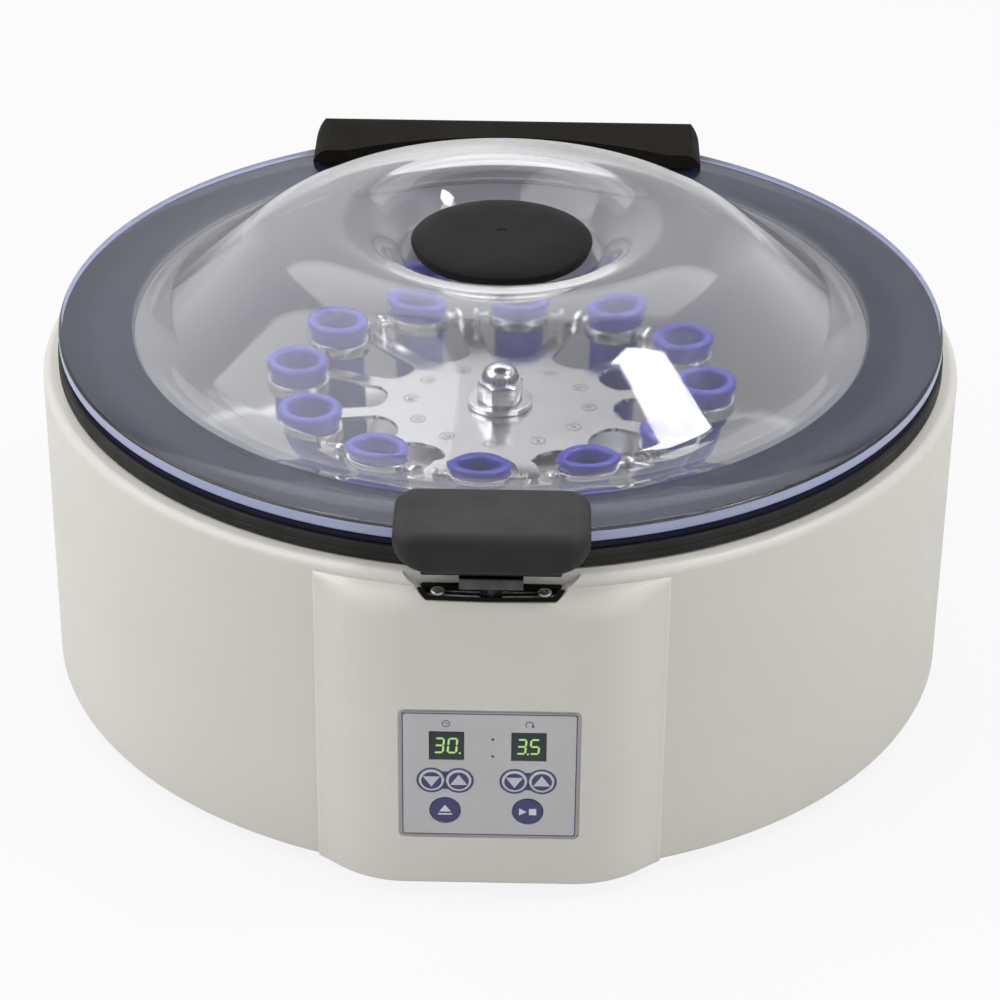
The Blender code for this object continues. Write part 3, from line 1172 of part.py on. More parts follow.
# Mains inlet with the rocker switch beside its socket
MODULE_DEPTH = 20 * MM
MODULE_CORNER = 3 * MM
SOCKET_X = -10 * MM
SOCKET_HALF_WIDTH = 12 * MM
SOCKET_HALF_HEIGHT = 8.3 * MM
SOCKET_CHAMFER = 4 * MM
SOCKET_DEPTH = 17 * MM
PIN_DEPTH = 11 * MM
BLADE_HALF_WIDTH = 1 * MM
BLADE_HALF_HEIGHT = 2 * MM
BLADE_PLACES = ((-7 * MM, -1.5 * MM), (0, 2.5 * MM), (7 * MM, -1.5 * MM))
ROCKER_X = 14.5 * MM
ROCKER_HALF_WIDTH = 5.5 * MM
ROCKER_HALF_HEIGHT = 9.5 * MM
ROCKER_ANGLE = 8
ROCKER_AXIS_DEPTH = 3 * MM
ROCKER_BACK = 2.5 * MM
ROCKER_MIDDLE = 0.8 * MM
ROCKER_END = 1.3 * MM
ROCKER_PIN_RADIUS = 1.2 * MM
ROCKER_PIN_REACH = 1.5 * MM
ROCKER_ROOM = 0.7 * MM
ROCKER_POCKET = 7 * MM


def make_inlet(parent, plastic, key_finish):
    seat = REAR_WALL_REACH + GAP
    face = seat + INLET_FLANGE
    flange = rounded_rectangle(MODULE_X - MODULE_HALF_WIDTH, MODULE_X + MODULE_HALF_WIDTH,
                               MODULE_Z - MODULE_HALF_HEIGHT, MODULE_Z + MODULE_HALF_HEIGHT,
                               MODULE_CORNER, CORNER_STEPS)
    inlet = add_object("power_inlet", prism(flange, seat, face, "Y"), plastic, parent)
    half_width = MODULE_HALF_WIDTH - MODULE_BODY_INSET
    half_height = MODULE_HALF_HEIGHT - MODULE_BODY_INSET
    join(inlet, "body", box((MODULE_X - half_width, face - MODULE_DEPTH, MODULE_Z - half_height),
                            (MODULE_X + half_width, face - INLET_FLANGE / 2, MODULE_Z + half_height)))
    socket_x = MODULE_X + SOCKET_X
    left, right = socket_x - SOCKET_HALF_WIDTH, socket_x + SOCKET_HALF_WIDTH
    low, high = MODULE_Z - SOCKET_HALF_HEIGHT, MODULE_Z + SOCKET_HALF_HEIGHT
    socket = [(left, low), (right, low), (right, high - SOCKET_CHAMFER), (right - SOCKET_CHAMFER, high),
              (left + SOCKET_CHAMFER, high), (left, high - SOCKET_CHAMFER)]
    socket_floor = face - SOCKET_DEPTH
    cut(inlet, "socket", prism(socket, socket_floor, face + OVERRUN, "Y"))
    blades = []
    for x, z in BLADE_PLACES:
        blades.append(box((socket_x + x - BLADE_HALF_WIDTH, socket_floor - BITE,
                           MODULE_Z + z - BLADE_HALF_HEIGHT),
                          (socket_x + x + BLADE_HALF_WIDTH, socket_floor + PIN_DEPTH,
                           MODULE_Z + z + BLADE_HALF_HEIGHT)))
    join(inlet, "blades", *blades)

    rocker_x = MODULE_X + ROCKER_X
    axis_y = face - ROCKER_AXIS_DEPTH
    room = ROCKER_HALF_WIDTH + ROCKER_ROOM
    reach = ROCKER_HALF_HEIGHT + ROCKER_ROOM
    cut(inlet, "rocker_pocket", box((rocker_x - room, axis_y - ROCKER_POCKET, MODULE_Z - reach),
                                    (rocker_x + room, face + OVERRUN, MODULE_Z + reach)))
    pin_reach = ROCKER_HALF_WIDTH + ROCKER_PIN_REACH
    hole = rod(ROCKER_PIN_RADIUS + GAP, -pin_reach - GAP, pin_reach + GAP, TINY_SIDES, "X")
    cut(inlet, "rocker_pin_holes", moved(hole, x=rocker_x, y=axis_y, z=MODULE_Z))

    back_half = ROCKER_HALF_HEIGHT - ROCKER_BACK
    rocker_side = [(-ROCKER_BACK, -back_half), (-ROCKER_BACK, back_half),
                   (ROCKER_END, ROCKER_HALF_HEIGHT), (ROCKER_MIDDLE, 0),
                   (ROCKER_END, -ROCKER_HALF_HEIGHT)]
    rocker = add_object("power_switch", prism(rocker_side, -ROCKER_HALF_WIDTH, ROCKER_HALF_WIDTH, "X"),
                        key_finish, parent, (rocker_x, axis_y, MODULE_Z))
    rocker.rotation_euler.x = math.radians(ROCKER_ANGLE)
    shape_with(rocker, "pins", rod(ROCKER_PIN_RADIUS, -pin_reach, pin_reach, TINY_SIDES, "X"), "UNION")
    bpy.data.objects["power_switch_pins"].rotation_euler = rocker.rotation_euler


def main():
    for item in list(bpy.data.objects):
        bpy.data.objects.remove(item, do_unlink=True)

    shell_white = material("shell_white", (0.80, 0.79, 0.75), 0.45)
    black_plastic = material("black_plastic", (0.03, 0.03, 0.03), 0.5)
    dark_rubber = material("dark_rubber", (0.03, 0.03, 0.035), 0.8)
    seal_grey = material("seal_grey", (0.10, 0.105, 0.14), 0.7)
    clear_plastic = material("clear_plastic", (0.85, 0.88, 0.95), 0.05, alpha=0.25)
    blue_plastic = material("blue_plastic", (0.10, 0.10, 0.48), 0.35)
    steel = material("steel", (0.62, 0.62, 0.62), 0.3, 1.0)
    bowl_metal = material("bowl_metal", (0.66, 0.66, 0.66), 0.4, 1.0)
    plated_steel = material("plated_steel", (0.5, 0.5, 0.48), 0.45, 1.0)
    motor_black = material("motor_black", (0.03, 0.03, 0.03), 0.4)
    panel_grey = material("panel_grey", (0.52, 0.53, 0.58), 0.5)
    key_blue = material("key_blue", (0.07, 0.08, 0.24), 0.45)
    display_dark = material("display_dark", (0.02, 0.04, 0.05), 0.15)
    board_green = material("board_green", (0.03, 0.22, 0.10), 0.5)

    frame = add_empty("rotor_axis", None, (0, AXIS_Y, 0))
    make_housing(frame, shell_white)
    make_base(frame, plated_steel, dark_rubber)
    make_bowl(frame, bowl_metal)
    make_gasket(frame, dark_rubber)
    make_motor(frame, motor_black, dark_rubber)
    make_latch(frame, black_plastic, steel, plated_steel)
    make_hinge_base(frame, plated_steel)
    make_keypad(frame, panel_grey, display_dark, key_blue, board_green)
    make_inlet(frame, black_plastic, black_plastic)

    rotor = add_empty("rotor_spin", frame, (0, 0, 0))
    make_rotor(rotor, steel)
    make_buckets(rotor, blue_plastic, steel)

    lid = add_empty("lid_hinge", frame, (0, HINGE_Y, HINGE_Z))
    lid_offset = (0, -HINGE_Y, -HINGE_Z)
    make_dome(lid, lid_offset, clear_plastic, seal_grey)
    make_cap(lid, lid_offset, black_plastic)
    make_handle(lid, lid_offset, black_plastic, steel)
    make_carrier(lid, lid_offset, black_plastic)


main()
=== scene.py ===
import math

import bmesh
import bpy
from mathutils import Matrix, Vector


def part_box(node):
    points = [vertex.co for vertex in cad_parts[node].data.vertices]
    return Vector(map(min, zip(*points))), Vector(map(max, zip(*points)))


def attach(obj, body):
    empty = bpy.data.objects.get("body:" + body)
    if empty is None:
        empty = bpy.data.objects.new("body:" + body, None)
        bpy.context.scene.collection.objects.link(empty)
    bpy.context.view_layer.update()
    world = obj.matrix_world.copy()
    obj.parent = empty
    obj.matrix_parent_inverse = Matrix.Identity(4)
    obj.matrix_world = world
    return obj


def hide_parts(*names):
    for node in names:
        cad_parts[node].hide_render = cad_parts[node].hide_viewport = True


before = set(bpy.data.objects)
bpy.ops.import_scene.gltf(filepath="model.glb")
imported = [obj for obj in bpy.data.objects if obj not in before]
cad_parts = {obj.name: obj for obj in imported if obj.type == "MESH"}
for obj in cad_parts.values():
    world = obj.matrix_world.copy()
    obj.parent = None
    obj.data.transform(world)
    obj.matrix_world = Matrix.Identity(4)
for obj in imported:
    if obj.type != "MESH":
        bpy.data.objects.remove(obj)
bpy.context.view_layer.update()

MM = 0.001


def mm(*lengths):
    """Lengths in millimetres as a list of metres."""
    return [length * MM for length in lengths]


def cosd(degrees):
    return math.cos(math.radians(degrees))


def sind(degrees):
    return math.sin(math.radians(degrees))


# Sizes read from the frame. Places are kept from the rotor's axis.
def middle(node, axis):
    low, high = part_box(node)
    return (low[axis] + high[axis]) / 2


AXIS = Vector((middle("bowl", 0), middle("bowl", 1), 0))


def span(node):
    """Low and high corner of a frame node, seen from the rotor's axis."""
    low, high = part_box(node)
    return Vector(low) - AXIS, Vector(high) - AXIS


HOUSING_LOW, HOUSING_HIGH = span("housing")
BODY_RADIUS = HOUSING_HIGH.x
BODY_BOTTOM = HOUSING_LOW.z
DECK_TOP = HOUSING_HIGH.z
CONSOLE_REACH = -HOUSING_LOW.y
REAR_REACH = HOUSING_HIGH.y

GAP = 0.3 * MM
OVERRUN = 2 * MM
WALL = 3 * MM
BITE = 1 * MM

# Mesh fineness
ROUND_SIDES = 256
MIDDLE_SIDES = 128
SMALL_SIDES = 64
TINY_SIDES = 32
SHARP_ANGLE = math.radians(38)
WELD = 0.002 * MM


# Shape helpers
def arc(centre_u, centre_v, radius, start, end, steps):
    """Points of an arc, with its ends, in degrees from +u towards +v."""
    turns = [start + (end - start) * step / steps for step in range(steps + 1)]
    return [(centre_u + radius * cosd(turn), centre_v + radius * sind(turn)) for turn in turns]


def rounded_rectangle(low_u, high_u, low_v, high_v, radius, steps=6):
    """Anticlockwise outline of a rectangle with four round corners."""
    outline = arc(high_u - radius, low_v + radius, radius, -90, 0, steps)
    outline += arc(high_u - radius, high_v - radius, radius, 0, 90, steps)
    outline += arc(low_u + radius, high_v - radius, radius, 90, 180, steps)
    return outline + arc(low_u + radius, low_v + radius, radius, 180, 270, steps)


def rounded_profile(points, radius, steps=4):
    """A closed outline with each corner replaced by an arc, or by less where there is no room."""
    outline = []
    for index, point in enumerate(points):
        corner = Vector(point)
        before = Vector(points[index - 1]) - corner
        after = Vector(points[(index + 1) % len(points)]) - corner
        room = min(before.length, after.length) / 2.05
        turn = before.angle(after, math.pi)
        reach = min(radius / max(math.tan(turn / 2), 0.01), room)
        start = corner + before.normalized() * reach
        end = corner + after.normalized() * reach
        for step in range(steps + 1):
            share = step / steps
            outline.append(tuple(start.lerp(corner, share).lerp(corner.lerp(end, share), share)))
    return outline


def prism(outline, low, high, axis="Z"):
    """A closed outline extruded along an axis: (x, y) along Z, (x, z) along Y, (y, z) along X."""
    place = {
        "Z": lambda u, v, w: (u, v, w),
        "Y": lambda u, v, w: (u, w, v),
        "X": lambda u, v, w: (w, u, v),
    }[axis]
    return loft([[place(u, v, w) for u, v in outline] for w in (low, high)], weld=False)


def box(low, high):
    outline = [(low[0], low[1]), (high[0], low[1]), (high[0], high[1]), (low[0], high[1])]
    return prism(outline, low[2], high[2])


def turned(profile, sides, axis="Z"):
    """A profile of (radius, height) spun about an axis; closed where its ends are off the axis."""
    bm = bmesh.new()
    verts = [bm.verts.new((radius, 0, height)) for radius, height in profile]
    follows = verts[1:] + verts[:1]
    if profile[0][0] == 0 and profile[-1][0] == 0:
        follows = verts[1:]
    edges = [bm.edges.new(pair) for pair in zip(verts, follows)]
    bmesh.ops.spin(bm, geom=verts + edges, cent=(0, 0, 0), axis=(0, 0, 1), dvec=(0, 0, 0),
                   angle=math.tau, steps=sides, use_merge=True)
    bmesh.ops.remove_doubles(bm, verts=bm.verts, dist=WELD)
    if axis != "Z":
        degrees, about = (90, "Y") if axis == "X" else (-90, "X")
        bmesh.ops.transform(bm, matrix=Matrix.Rotation(math.radians(degrees), 4, about), verts=bm.verts)
    bmesh.ops.recalc_face_normals(bm, faces=bm.faces)
    return bm


def rod(radius, low, high, sides=TINY_SIDES, axis="Z", edge=0):
    """A round bar whose two ends can be rounded."""
    side = [(radius, low), (radius, high)]
    if edge:
        side = arc(radius - edge, low + edge, edge, -90, 0, 3)
        side += arc(radius - edge, high - edge, edge, 0, 90, 3)
    return turned([(0, low), *side, (0, high)], sides, axis)


def hoop(inner, outer, low, high, axis="Z"):
    return turned([(inner, low), (outer, low), (outer, high), (inner, high)], TINY_SIDES, axis)


def loft(rings, weld=True):
    """Skin over rings of equal count, capped at both ends."""
    bm = bmesh.new()
    rows = [[bm.verts.new(point) for point in ring] for ring in rings]
    bm.faces.new(rows[0])
    bm.faces.new(rows[-1])
    count = len(rows[0])
    for below, above in zip(rows, rows[1:]):
        for index in range(count):
            follow = (index + 1) % count
            bm.faces.new((below[index], below[follow], above[follow], above[index]))
    if weld:
        bmesh.ops.remove_doubles(bm, verts=bm.verts, dist=WELD)
    bmesh.ops.recalc_face_normals(bm, faces=bm.faces)
    return bm


def moved(bm, x=0, y=0, z=0):
    bmesh.ops.translate(bm, verts=bm.verts, vec=(x, y, z))
    return bm


def spun(bm, degrees, axis="Z"):
    bmesh.ops.rotate(bm, verts=bm.verts, cent=(0, 0, 0),
                     matrix=Matrix.Rotation(math.radians(degrees), 3, axis))
    return bm


def merged(*shapes):
    """One mesh that holds several closed shapes side by side."""
    whole = bmesh.new()
    for shape in shapes:
        mesh = bpy.data.meshes.new("part")
        shape.to_mesh(mesh)
        shape.free()
        whole.from_mesh(mesh)
        bpy.data.meshes.remove(mesh)
    return whole


def softened(bm, width, segments=2, angle=30):
    """Round every edge whose faces meet at more than an angle."""
    limit = math.radians(angle)
    edges = [edge for edge in bm.edges
             if len(edge.link_faces) == 2 and edge.calc_face_angle(0) > limit]
    bmesh.ops.bevel(bm, geom=edges, offset=width, segments=segments, profile=0.5,
                    affect="EDGES", clamp_overlap=True)
    bmesh.ops.remove_doubles(bm, verts=bm.verts, dist=WELD)
    return bm


def scratch_object(name, data):
    """An object in the scene, made from a shape or from other data."""
    if isinstance(data, bmesh.types.BMesh):
        mesh = bpy.data.meshes.new(name)
        data.to_mesh(mesh)
        data.free()
        data = mesh
    item = bpy.data.objects.new(name, data)
    bpy.context.collection.objects.link(item)
    return item


def final_shape(item):
    """The mesh that an object shows once it is evaluated."""
    bpy.context.view_layer.update()
    evaluated = item.evaluated_get(bpy.context.evaluated_depsgraph_get())
    shape = bmesh.new()
    shape.from_mesh(evaluated.to_mesh())
    evaluated.to_mesh_clear()
    return shape


def boolean(shape, tool, operation):
    blank = scratch_object("blank", shape)
    cutter = scratch_object("cutter", tool)
    carve = blank.modifiers.new("carve", "BOOLEAN")
    carve.operation = operation
    carve.solver = "EXACT"
    carve.object = cutter
    result = final_shape(blank)
    for item in (blank, cutter):
        mesh = item.data
        bpy.data.objects.remove(item, do_unlink=True)
        bpy.data.meshes.remove(mesh)
    return result


def carved(shape, *tools):
    for tool in tools:
        shape = boolean(shape, tool, "DIFFERENCE")
    return shape


def joined(shape, *tools):
    for tool in tools:
        shape = boolean(shape, tool, "UNION")
    return shape


def piece(name, shape, finish, body, node=None, at=AXIS, turn=0.0, weighted=False):
    """A named piece of the looks that rides on a body and can stand for a frame node."""
    item = scratch_object(name, shape)
    item.data.shade_smooth()
    item.data.set_sharp_from_angle(angle=SHARP_ANGLE)
    item.data.materials.append(finish)
    item.location = at
    item.rotation_euler.z = turn
    if weighted:
        item.modifiers.new("normals", "WEIGHTED_NORMAL").keep_sharp = True
    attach(item, body)
    if node:
        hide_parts(node)
    return item


# Material helpers
def set_inputs(tree, node, inputs):
    """Set a shader node's inputs, or link outputs to them."""
    for key, value in inputs.items():
        if isinstance(value, bpy.types.NodeSocket):
            tree.links.new(value, node.inputs[key])
        else:
            node.inputs[key].default_value = value


def add_node(tree, kind, output, inputs=None, **settings):
    """A new shader node with its settings and inputs; gives one of its outputs."""
    node = tree.nodes.new("ShaderNode" + kind)
    for key, value in settings.items():
        setattr(node, key, value)
    set_inputs(tree, node, inputs or {})
    return node.outputs[output]


def add_noise(tree, scale, detail, stretch=(1, 1, 1)):
    """Noise over the piece's own coordinates, in metres."""
    place = add_node(tree, "TexCoord", "Object")
    place = add_node(tree, "Mapping", "Vector", {"Vector": place, "Scale": stretch})
    return add_node(tree, "TexNoise", "Fac", {"Vector": place, "Scale": scale, "Detail": detail})


def add_rings(tree, scale, detail):
    """Noise over the distance from the piece's own upright axis, like turning marks."""
    place = add_node(tree, "TexCoord", "Object")
    flat = add_node(tree, "VectorMath", "Vector", {0: place, 1: (1, 1, 0)}, operation="MULTIPLY")
    length = add_node(tree, "VectorMath", "Value", {0: flat}, operation="LENGTH")
    return add_node(tree, "TexNoise", "Fac", {"W": length, "Scale": scale, "Detail": detail},
                    noise_dimensions="1D")


def add_range(tree, value, low, high, start=0.3, end=0.7):
    return add_node(tree, "MapRange", "Result", {"Value": value, "From Min": start, "From Max": end,
                                                 "To Min": low, "To Max": high})


def add_tone(tree, pattern, first, second):
    """A colour that a pattern moves between two colours."""
    colours = {"Factor": add_range(tree, pattern, 0, 1), "A": (*first, 1), "B": (*second, 1)}
    return add_node(tree, "Mix", "Result", colours, data_type="RGBA")


def add_math(tree, operation, first, second):
    return add_node(tree, "Math", "Value", {0: first, 1: second}, operation=operation)


def blend_surface(tree, share, first, second):
    """Give the material's output a blend of two shaders."""
    blend = add_node(tree, "MixShader", "Shader", {"Fac": share, 1: first, 2: second})
    set_inputs(tree, tree.nodes["Material Output"], {"Surface": blend})


def new_material(name, **inputs):
    """A material, its tree and its shader, with underscores for the spaces in the names of inputs."""
    finish = bpy.data.materials.new(name)
    finish.use_nodes = True
    tree = finish.node_tree
    shader = tree.nodes["Principled BSDF"]
    set_inputs(tree, shader, {key.replace("_", " "): value for key, value in inputs.items()})
    return finish, tree, shader


def dressed(parts, tone, colours, sheen, roughness, relief, depth, strength=1.0):
    """A material whose colour, roughness and relief follow three patterns; depth in millimetres."""
    finish, tree, shader = parts
    bumps = {"Height": relief, "Distance": depth * MM, "Strength": strength}
    normal = add_node(tree, "Bump", "Normal", bumps)
    set_inputs(tree, shader, {"Base Color": add_tone(tree, tone, *colours),
                              "Roughness": add_range(tree, sheen, *roughness), "Normal": normal})
    return finish


def grained(name, colours, roughness, grain, depth, specular=0.5, tone_scale=9.0):
    """A moulded or cast finish: slow tone drift, uneven sheen and a fine grain."""
    parts = new_material(name, Specular_IOR_Level=specular)
    tree = parts[1]
    return dressed(parts, add_noise(tree, tone_scale, 4.0), colours, add_noise(tree, 60.0, 5.0), roughness,
                   add_noise(tree, grain, 2.0), depth)


def brushed(name, colours, roughness, scale, depth, stretch=(1, 8, 1)):
    """A rolled or ground metal with streaks along one direction."""
    parts = new_material(name, Metallic=1.0)
    streak = add_noise(parts[1], scale, 6.0, stretch)
    return dressed(parts, streak, colours, add_noise(parts[1], 45.0, 4.0), roughness, streak, depth)


def spun_metal(name, colours, roughness, scale, depth, metallic):
    """A turned or spun metal with marks round its axis."""
    parts = new_material(name, Metallic=metallic)
    marks = add_rings(parts[1], scale, 4.0)
    return dressed(parts, marks, colours, add_noise(parts[1], 30.0, 5.0), roughness, marks, depth)


def clear_plastic(name, colours, clearness, ior):
    """Blown clear lid plastic with a milky haze, letting lamps through."""
    parts = new_material(name, Transmission_Weight=clearness, IOR=ior)
    tree, shader = parts[1:]
    haze = add_noise(tree, 35.0, 4.0)
    ripple = add_noise(tree, 12.0, 2.0)
    finish = dressed(parts, haze, colours, haze, CLEAR_ROUGHNESS, ripple, 0.05, 0.4)
    shadow = add_node(tree, "LightPath", "Is Shadow Ray")
    through = add_node(tree, "BsdfTransparent", "BSDF", {"Color": (0.92, 0.93, 0.96, 1)})
    blend_surface(tree, shadow, shader.outputs["BSDF"], through)
    return finish


def glowing(name, colour, strength):
    """Lit display segments, a little uneven."""
    finish, tree, shader = new_material(name, Base_Color=(*colour, 1), Emission_Strength=strength)
    flicker = add_noise(tree, 900.0, 2.0)
    dim = [value * 0.8 for value in colour]
    set_inputs(tree, shader, {"Emission Color": add_tone(tree, flicker, colour, dim),
                              "Roughness": add_range(tree, flicker, 0.3, 0.45)})
    return finish


def greys(first, second):
    return (first,) * 3, (second,) * 3


CLEAR_ROUGHNESS = (0.03, 0.065)
SHELL = grained("shell_plastic", ((0.70, 0.68, 0.63), (0.665, 0.645, 0.595)), (0.36, 0.5), 1500, 0.03)
BLACK_SOFT = grained("handle_plastic", ((0.012, 0.012, 0.0115), (0.020, 0.020, 0.019)), (0.5, 0.64),
                     1800, 0.05, 0.3)
BLACK_GLOSS = grained("carrier_plastic", ((0.008, 0.007, 0.005), (0.012, 0.010, 0.008)), (0.5, 0.62),
                      1200, 0.03, 0.03)
BLACK_MATT = grained("fitting_plastic", greys(0.009, 0.014), (0.45, 0.6), 1500, 0.04, 0.03)
CAP_PLASTIC = grained("cap_plastic", greys(0.011, 0.016), (0.4, 0.52), 1800, 0.03, 0.05)
RUBBER = grained("gasket_rubber", ((0.010, 0.010, 0.009), (0.018, 0.018, 0.016)), (0.5, 0.75),
                 1100, 0.05, 0.3)
SEAL = grained("seal_rubber", ((0.016, 0.018, 0.032), (0.022, 0.024, 0.042)), (0.55, 0.8), 900, 0.06, 0.0)
BLUE = grained("cup_plastic", ((0.026, 0.024, 0.27), (0.038, 0.036, 0.32)), (0.28, 0.42), 1300, 0.03,
               tone_scale=40)
PANEL = grained("membrane_film", ((0.50, 0.50, 0.515), (0.54, 0.54, 0.55)), (0.4, 0.55), 2200, 0.015,
                tone_scale=25)
NAVY = grained("printed_navy", ((0.04, 0.042, 0.13), (0.055, 0.058, 0.17)), (0.4, 0.55), 2400, 0.01,
               tone_scale=60)
KEY_GREY = grained("key_film", ((0.56, 0.56, 0.62), (0.60, 0.60, 0.65)), (0.4, 0.55), 2200, 0.01,
                   tone_scale=60)
WHITE_INK = grained("printed_white", ((0.78, 0.78, 0.80), (0.70, 0.70, 0.73)), (0.45, 0.6), 2400, 0.01,
                    tone_scale=60)
DISPLAY = grained("display_lens", ((0.008, 0.018, 0.024), (0.014, 0.026, 0.032)), (0.08, 0.2), 600, 0.005,
                  tone_scale=60)
LIT = glowing("display_segment", (0.30, 0.50, 0.14), 0.75)
STEEL = brushed("rotor_steel", ((0.68, 0.675, 0.67), (0.62, 0.615, 0.61)), (0.13, 0.2), 300, 0.001,
                (1, 14, 1))
CHROME = brushed("polished_steel", ((0.78, 0.78, 0.79), (0.70, 0.70, 0.72)), (0.08, 0.2), 200, 0.004,
                 (1, 1, 6))
RING_STEEL = brushed("ring_steel", ((0.70, 0.70, 0.71), (0.60, 0.60, 0.61)), (0.14, 0.3), 160, 0.006,
                     (1, 1, 10))
# Painted shade: the striker tab's steel is made far darker than bare steel, to stand for the shade it lies in
# under the handle.
SHADED_LATCH_STEEL = brushed("latch_steel_painted_shade", ((0.1, 0.098, 0.096), (0.06, 0.058, 0.056)), (0.22, 0.36), 160, 0.006)
HARD_STEEL = brushed("hard_steel", greys(0.06, 0.04), (0.3, 0.45), 160, 0.006)
PLATED = brushed("plated_steel", ((0.52, 0.52, 0.50), (0.44, 0.44, 0.42)), (0.3, 0.5), 120, 0.01)
BOWL_METAL = spun_metal("spun_bowl", greys(0.6, 0.54), (0.4, 0.55), 900, 0.012, 0.5)
DOME_CLEAR = clear_plastic("clear_lid", ((0.95, 0.955, 0.975), (0.965, 0.97, 0.98)), 0.975, 1.43)
FLANGE_CLEAR = clear_plastic("clear_flange", ((0.84, 0.87, 0.95), (0.88, 0.91, 0.96)), 1.0, 1.33)
EDGE_CLEAR = grained("sawn_lid_edge", ((0.33, 0.36, 0.55), (0.38, 0.41, 0.60)), (0.25, 0.4), 900, 0.02,
                     tone_scale=20)
BRASS = brushed("contact_metal", ((0.62, 0.55, 0.38), (0.52, 0.45, 0.3)), (0.25, 0.4), 200, 0.005)
MOTOR_PAINT = grained("motor_paint", ((0.02, 0.02, 0.022), (0.035,) * 3), (0.35, 0.6), 700, 0.06)
BOARD = grained("board_laminate", ((0.02, 0.16, 0.07), (0.03, 0.22, 0.10)), (0.3, 0.5), 900, 0.03,
                tone_scale=60)
MARKING = grained("etched_marking", greys(0.12, 0.2), (0.5, 0.7), 2400, 0.005, tone_scale=80)


# Housing
SHOULDER = 3.5 * MM
CONSOLE_FLAT_HALF = 31 * MM
CONSOLE_CORNER = 40 * MM
CONSOLE_EDGE_HALF = 65 * MM
CONSOLE_PROUD = 1.5 * MM
CONSOLE_BLEND = 3.9 * MM
CONSOLE_TOP = DECK_TOP - 4.2 * MM
CONSOLE_ROUND = 9 * MM
CONSOLE_FALL = 1.6
CONSOLE_EDGE_ROUND = 1 * MM
CONSOLE_ROOT = 150 * MM
CONSOLE_SAMPLES = 180
FOOT_ROUND = 1.5 * MM
FOOT_KNEE = 0.3
MOUTH_RADIUS = BODY_RADIUS - 12.5 * MM
REAR_BOX_HALF = 78 * MM
REAR_BOX_TOP = DECK_TOP - 9 * MM
REAR_BOX_ROOT = BODY_RADIUS - 65 * MM
REAR_BOX_CORNER = 15 * MM
REAR_BOX_ROUND = 5 * MM


def body_block(inset, low, top, round_radius, foot=0.0):
    """The housing's round block, its upper edge rounded."""
    radius = BODY_RADIUS - inset
    knee = foot * FOOT_KNEE
    profile = [(0, low), (radius - foot, low), (radius - knee, low + knee), (radius, low + foot),
               *arc(radius - round_radius, top - round_radius, round_radius, 0, 90, 10), (0, top)]
    return turned(profile, ROUND_SIDES)


def console_proud(x, inset):
    """How far the console stands out of the round body at one place across."""
    plain = math.sqrt((BODY_RADIUS + CONSOLE_PROUD) ** 2 - x * x)
    over = max(abs(x) - CONSOLE_FLAT_HALF, 0)
    bulge = CONSOLE_REACH - CONSOLE_CORNER + math.sqrt(max(CONSOLE_CORNER ** 2 - over ** 2, 0))
    nearness = max(CONSOLE_BLEND - abs(bulge - plain), 0)
    front = max(bulge, plain) + nearness ** 2 / (4 * CONSOLE_BLEND)
    past = max(abs(x) - CONSOLE_EDGE_HALF + CONSOLE_EDGE_ROUND, 0)
    edge = CONSOLE_EDGE_ROUND - math.sqrt(max(CONSOLE_EDGE_ROUND ** 2 - past ** 2, 0))
    return front - edge - inset - math.sqrt(BODY_RADIUS ** 2 - x * x)


def console_block(inset, low, foot=0.0):
    """The raised console: its top falls round into its front, more where it stands out further."""
    half = CONSOLE_EDGE_HALF - inset
    top = CONSOLE_TOP - inset
    rings = []

    def ring(lead, rise, height=None, foot_in=0.0):
        row = []
        for sample in range(CONSOLE_SAMPLES + 1):
            x = -half * math.cos(math.pi * sample / CONSOLE_SAMPLES)
            proud = console_proud(x, inset)
            fall = min(CONSOLE_ROUND, CONSOLE_FALL * abs(proud)) * (1 - rise)
            z = top - fall if height is None else height
            row.append((x, -math.sqrt(BODY_RADIUS ** 2 - x * x) - proud * lead + foot_in, z))
        z = top - CONSOLE_ROUND * (1 - rise) if height is None else height
        rings.append(row + [(half, -CONSOLE_ROOT, z), (-half, -CONSOLE_ROOT, z)])

    ring(1, 0, low, foot)
    if foot:
        ring(1, 0, low + foot * FOOT_KNEE, foot * FOOT_KNEE)
        ring(1, 0, low + foot)
    for degrees in range(0, 91, 9):
        ring(cosd(degrees), sind(degrees))
    return loft(rings)


def rear_ring(inset, height):
    half = REAR_BOX_HALF - inset
    reach = REAR_REACH - inset
    radius = max(REAR_BOX_CORNER - inset, BITE)
    outline = [(half, REAR_BOX_ROOT), *arc(half - radius, reach - radius, radius, 0, 90, 12),
               *arc(radius - half, reach - radius, radius, 90, 180, 12), (-half, REAR_BOX_ROOT)]
    return [(x, y, height) for x, y in outline]


def rear_block(inset, low, top, round_radius, foot=0.0):
    rings = [rear_ring(inset + foot, low), rear_ring(inset, low + foot)] if foot else [rear_ring(inset, low)]
    for lead, height in arc(0, top - round_radius, round_radius, 0, 90, 8):
        rings.append(rear_ring(inset + round_radius - lead, height))
    return loft(rings)


PANEL_LOW, PANEL_HIGH = span("keypad_panel")
PANEL_HALF = PANEL_HIGH.x
RECESS_MARGIN = 1.3 * MM
RECESS_CORNER = 2.4 * MM
RECESS_DEPTH = 1.2 * MM
PLATE_LOW, PLATE_HIGH = span("latch_plate")
PLATE_BOTTOM = PLATE_LOW.z + 1.2 * MM
NOTCH_FLOOR = PLATE_BOTTOM - GAP
NOTCH_BACK = -PLATE_HIGH.y - GAP
NOTCH_TOP_HALF = 33 * MM
NOTCH_FLOOR_HALF = 23.3 * MM
NOTCH_ROUND = 3 * MM
NOTCH_SLOPE = (NOTCH_TOP_HALF - NOTCH_FLOOR_HALF) / (DECK_TOP - NOTCH_FLOOR)
INLET_LOW, INLET_HIGH = span("power_inlet")
INLET_MARGIN = 1.7 * MM
VENT_COUNT = 9
VENT_PITCH = 11 * MM
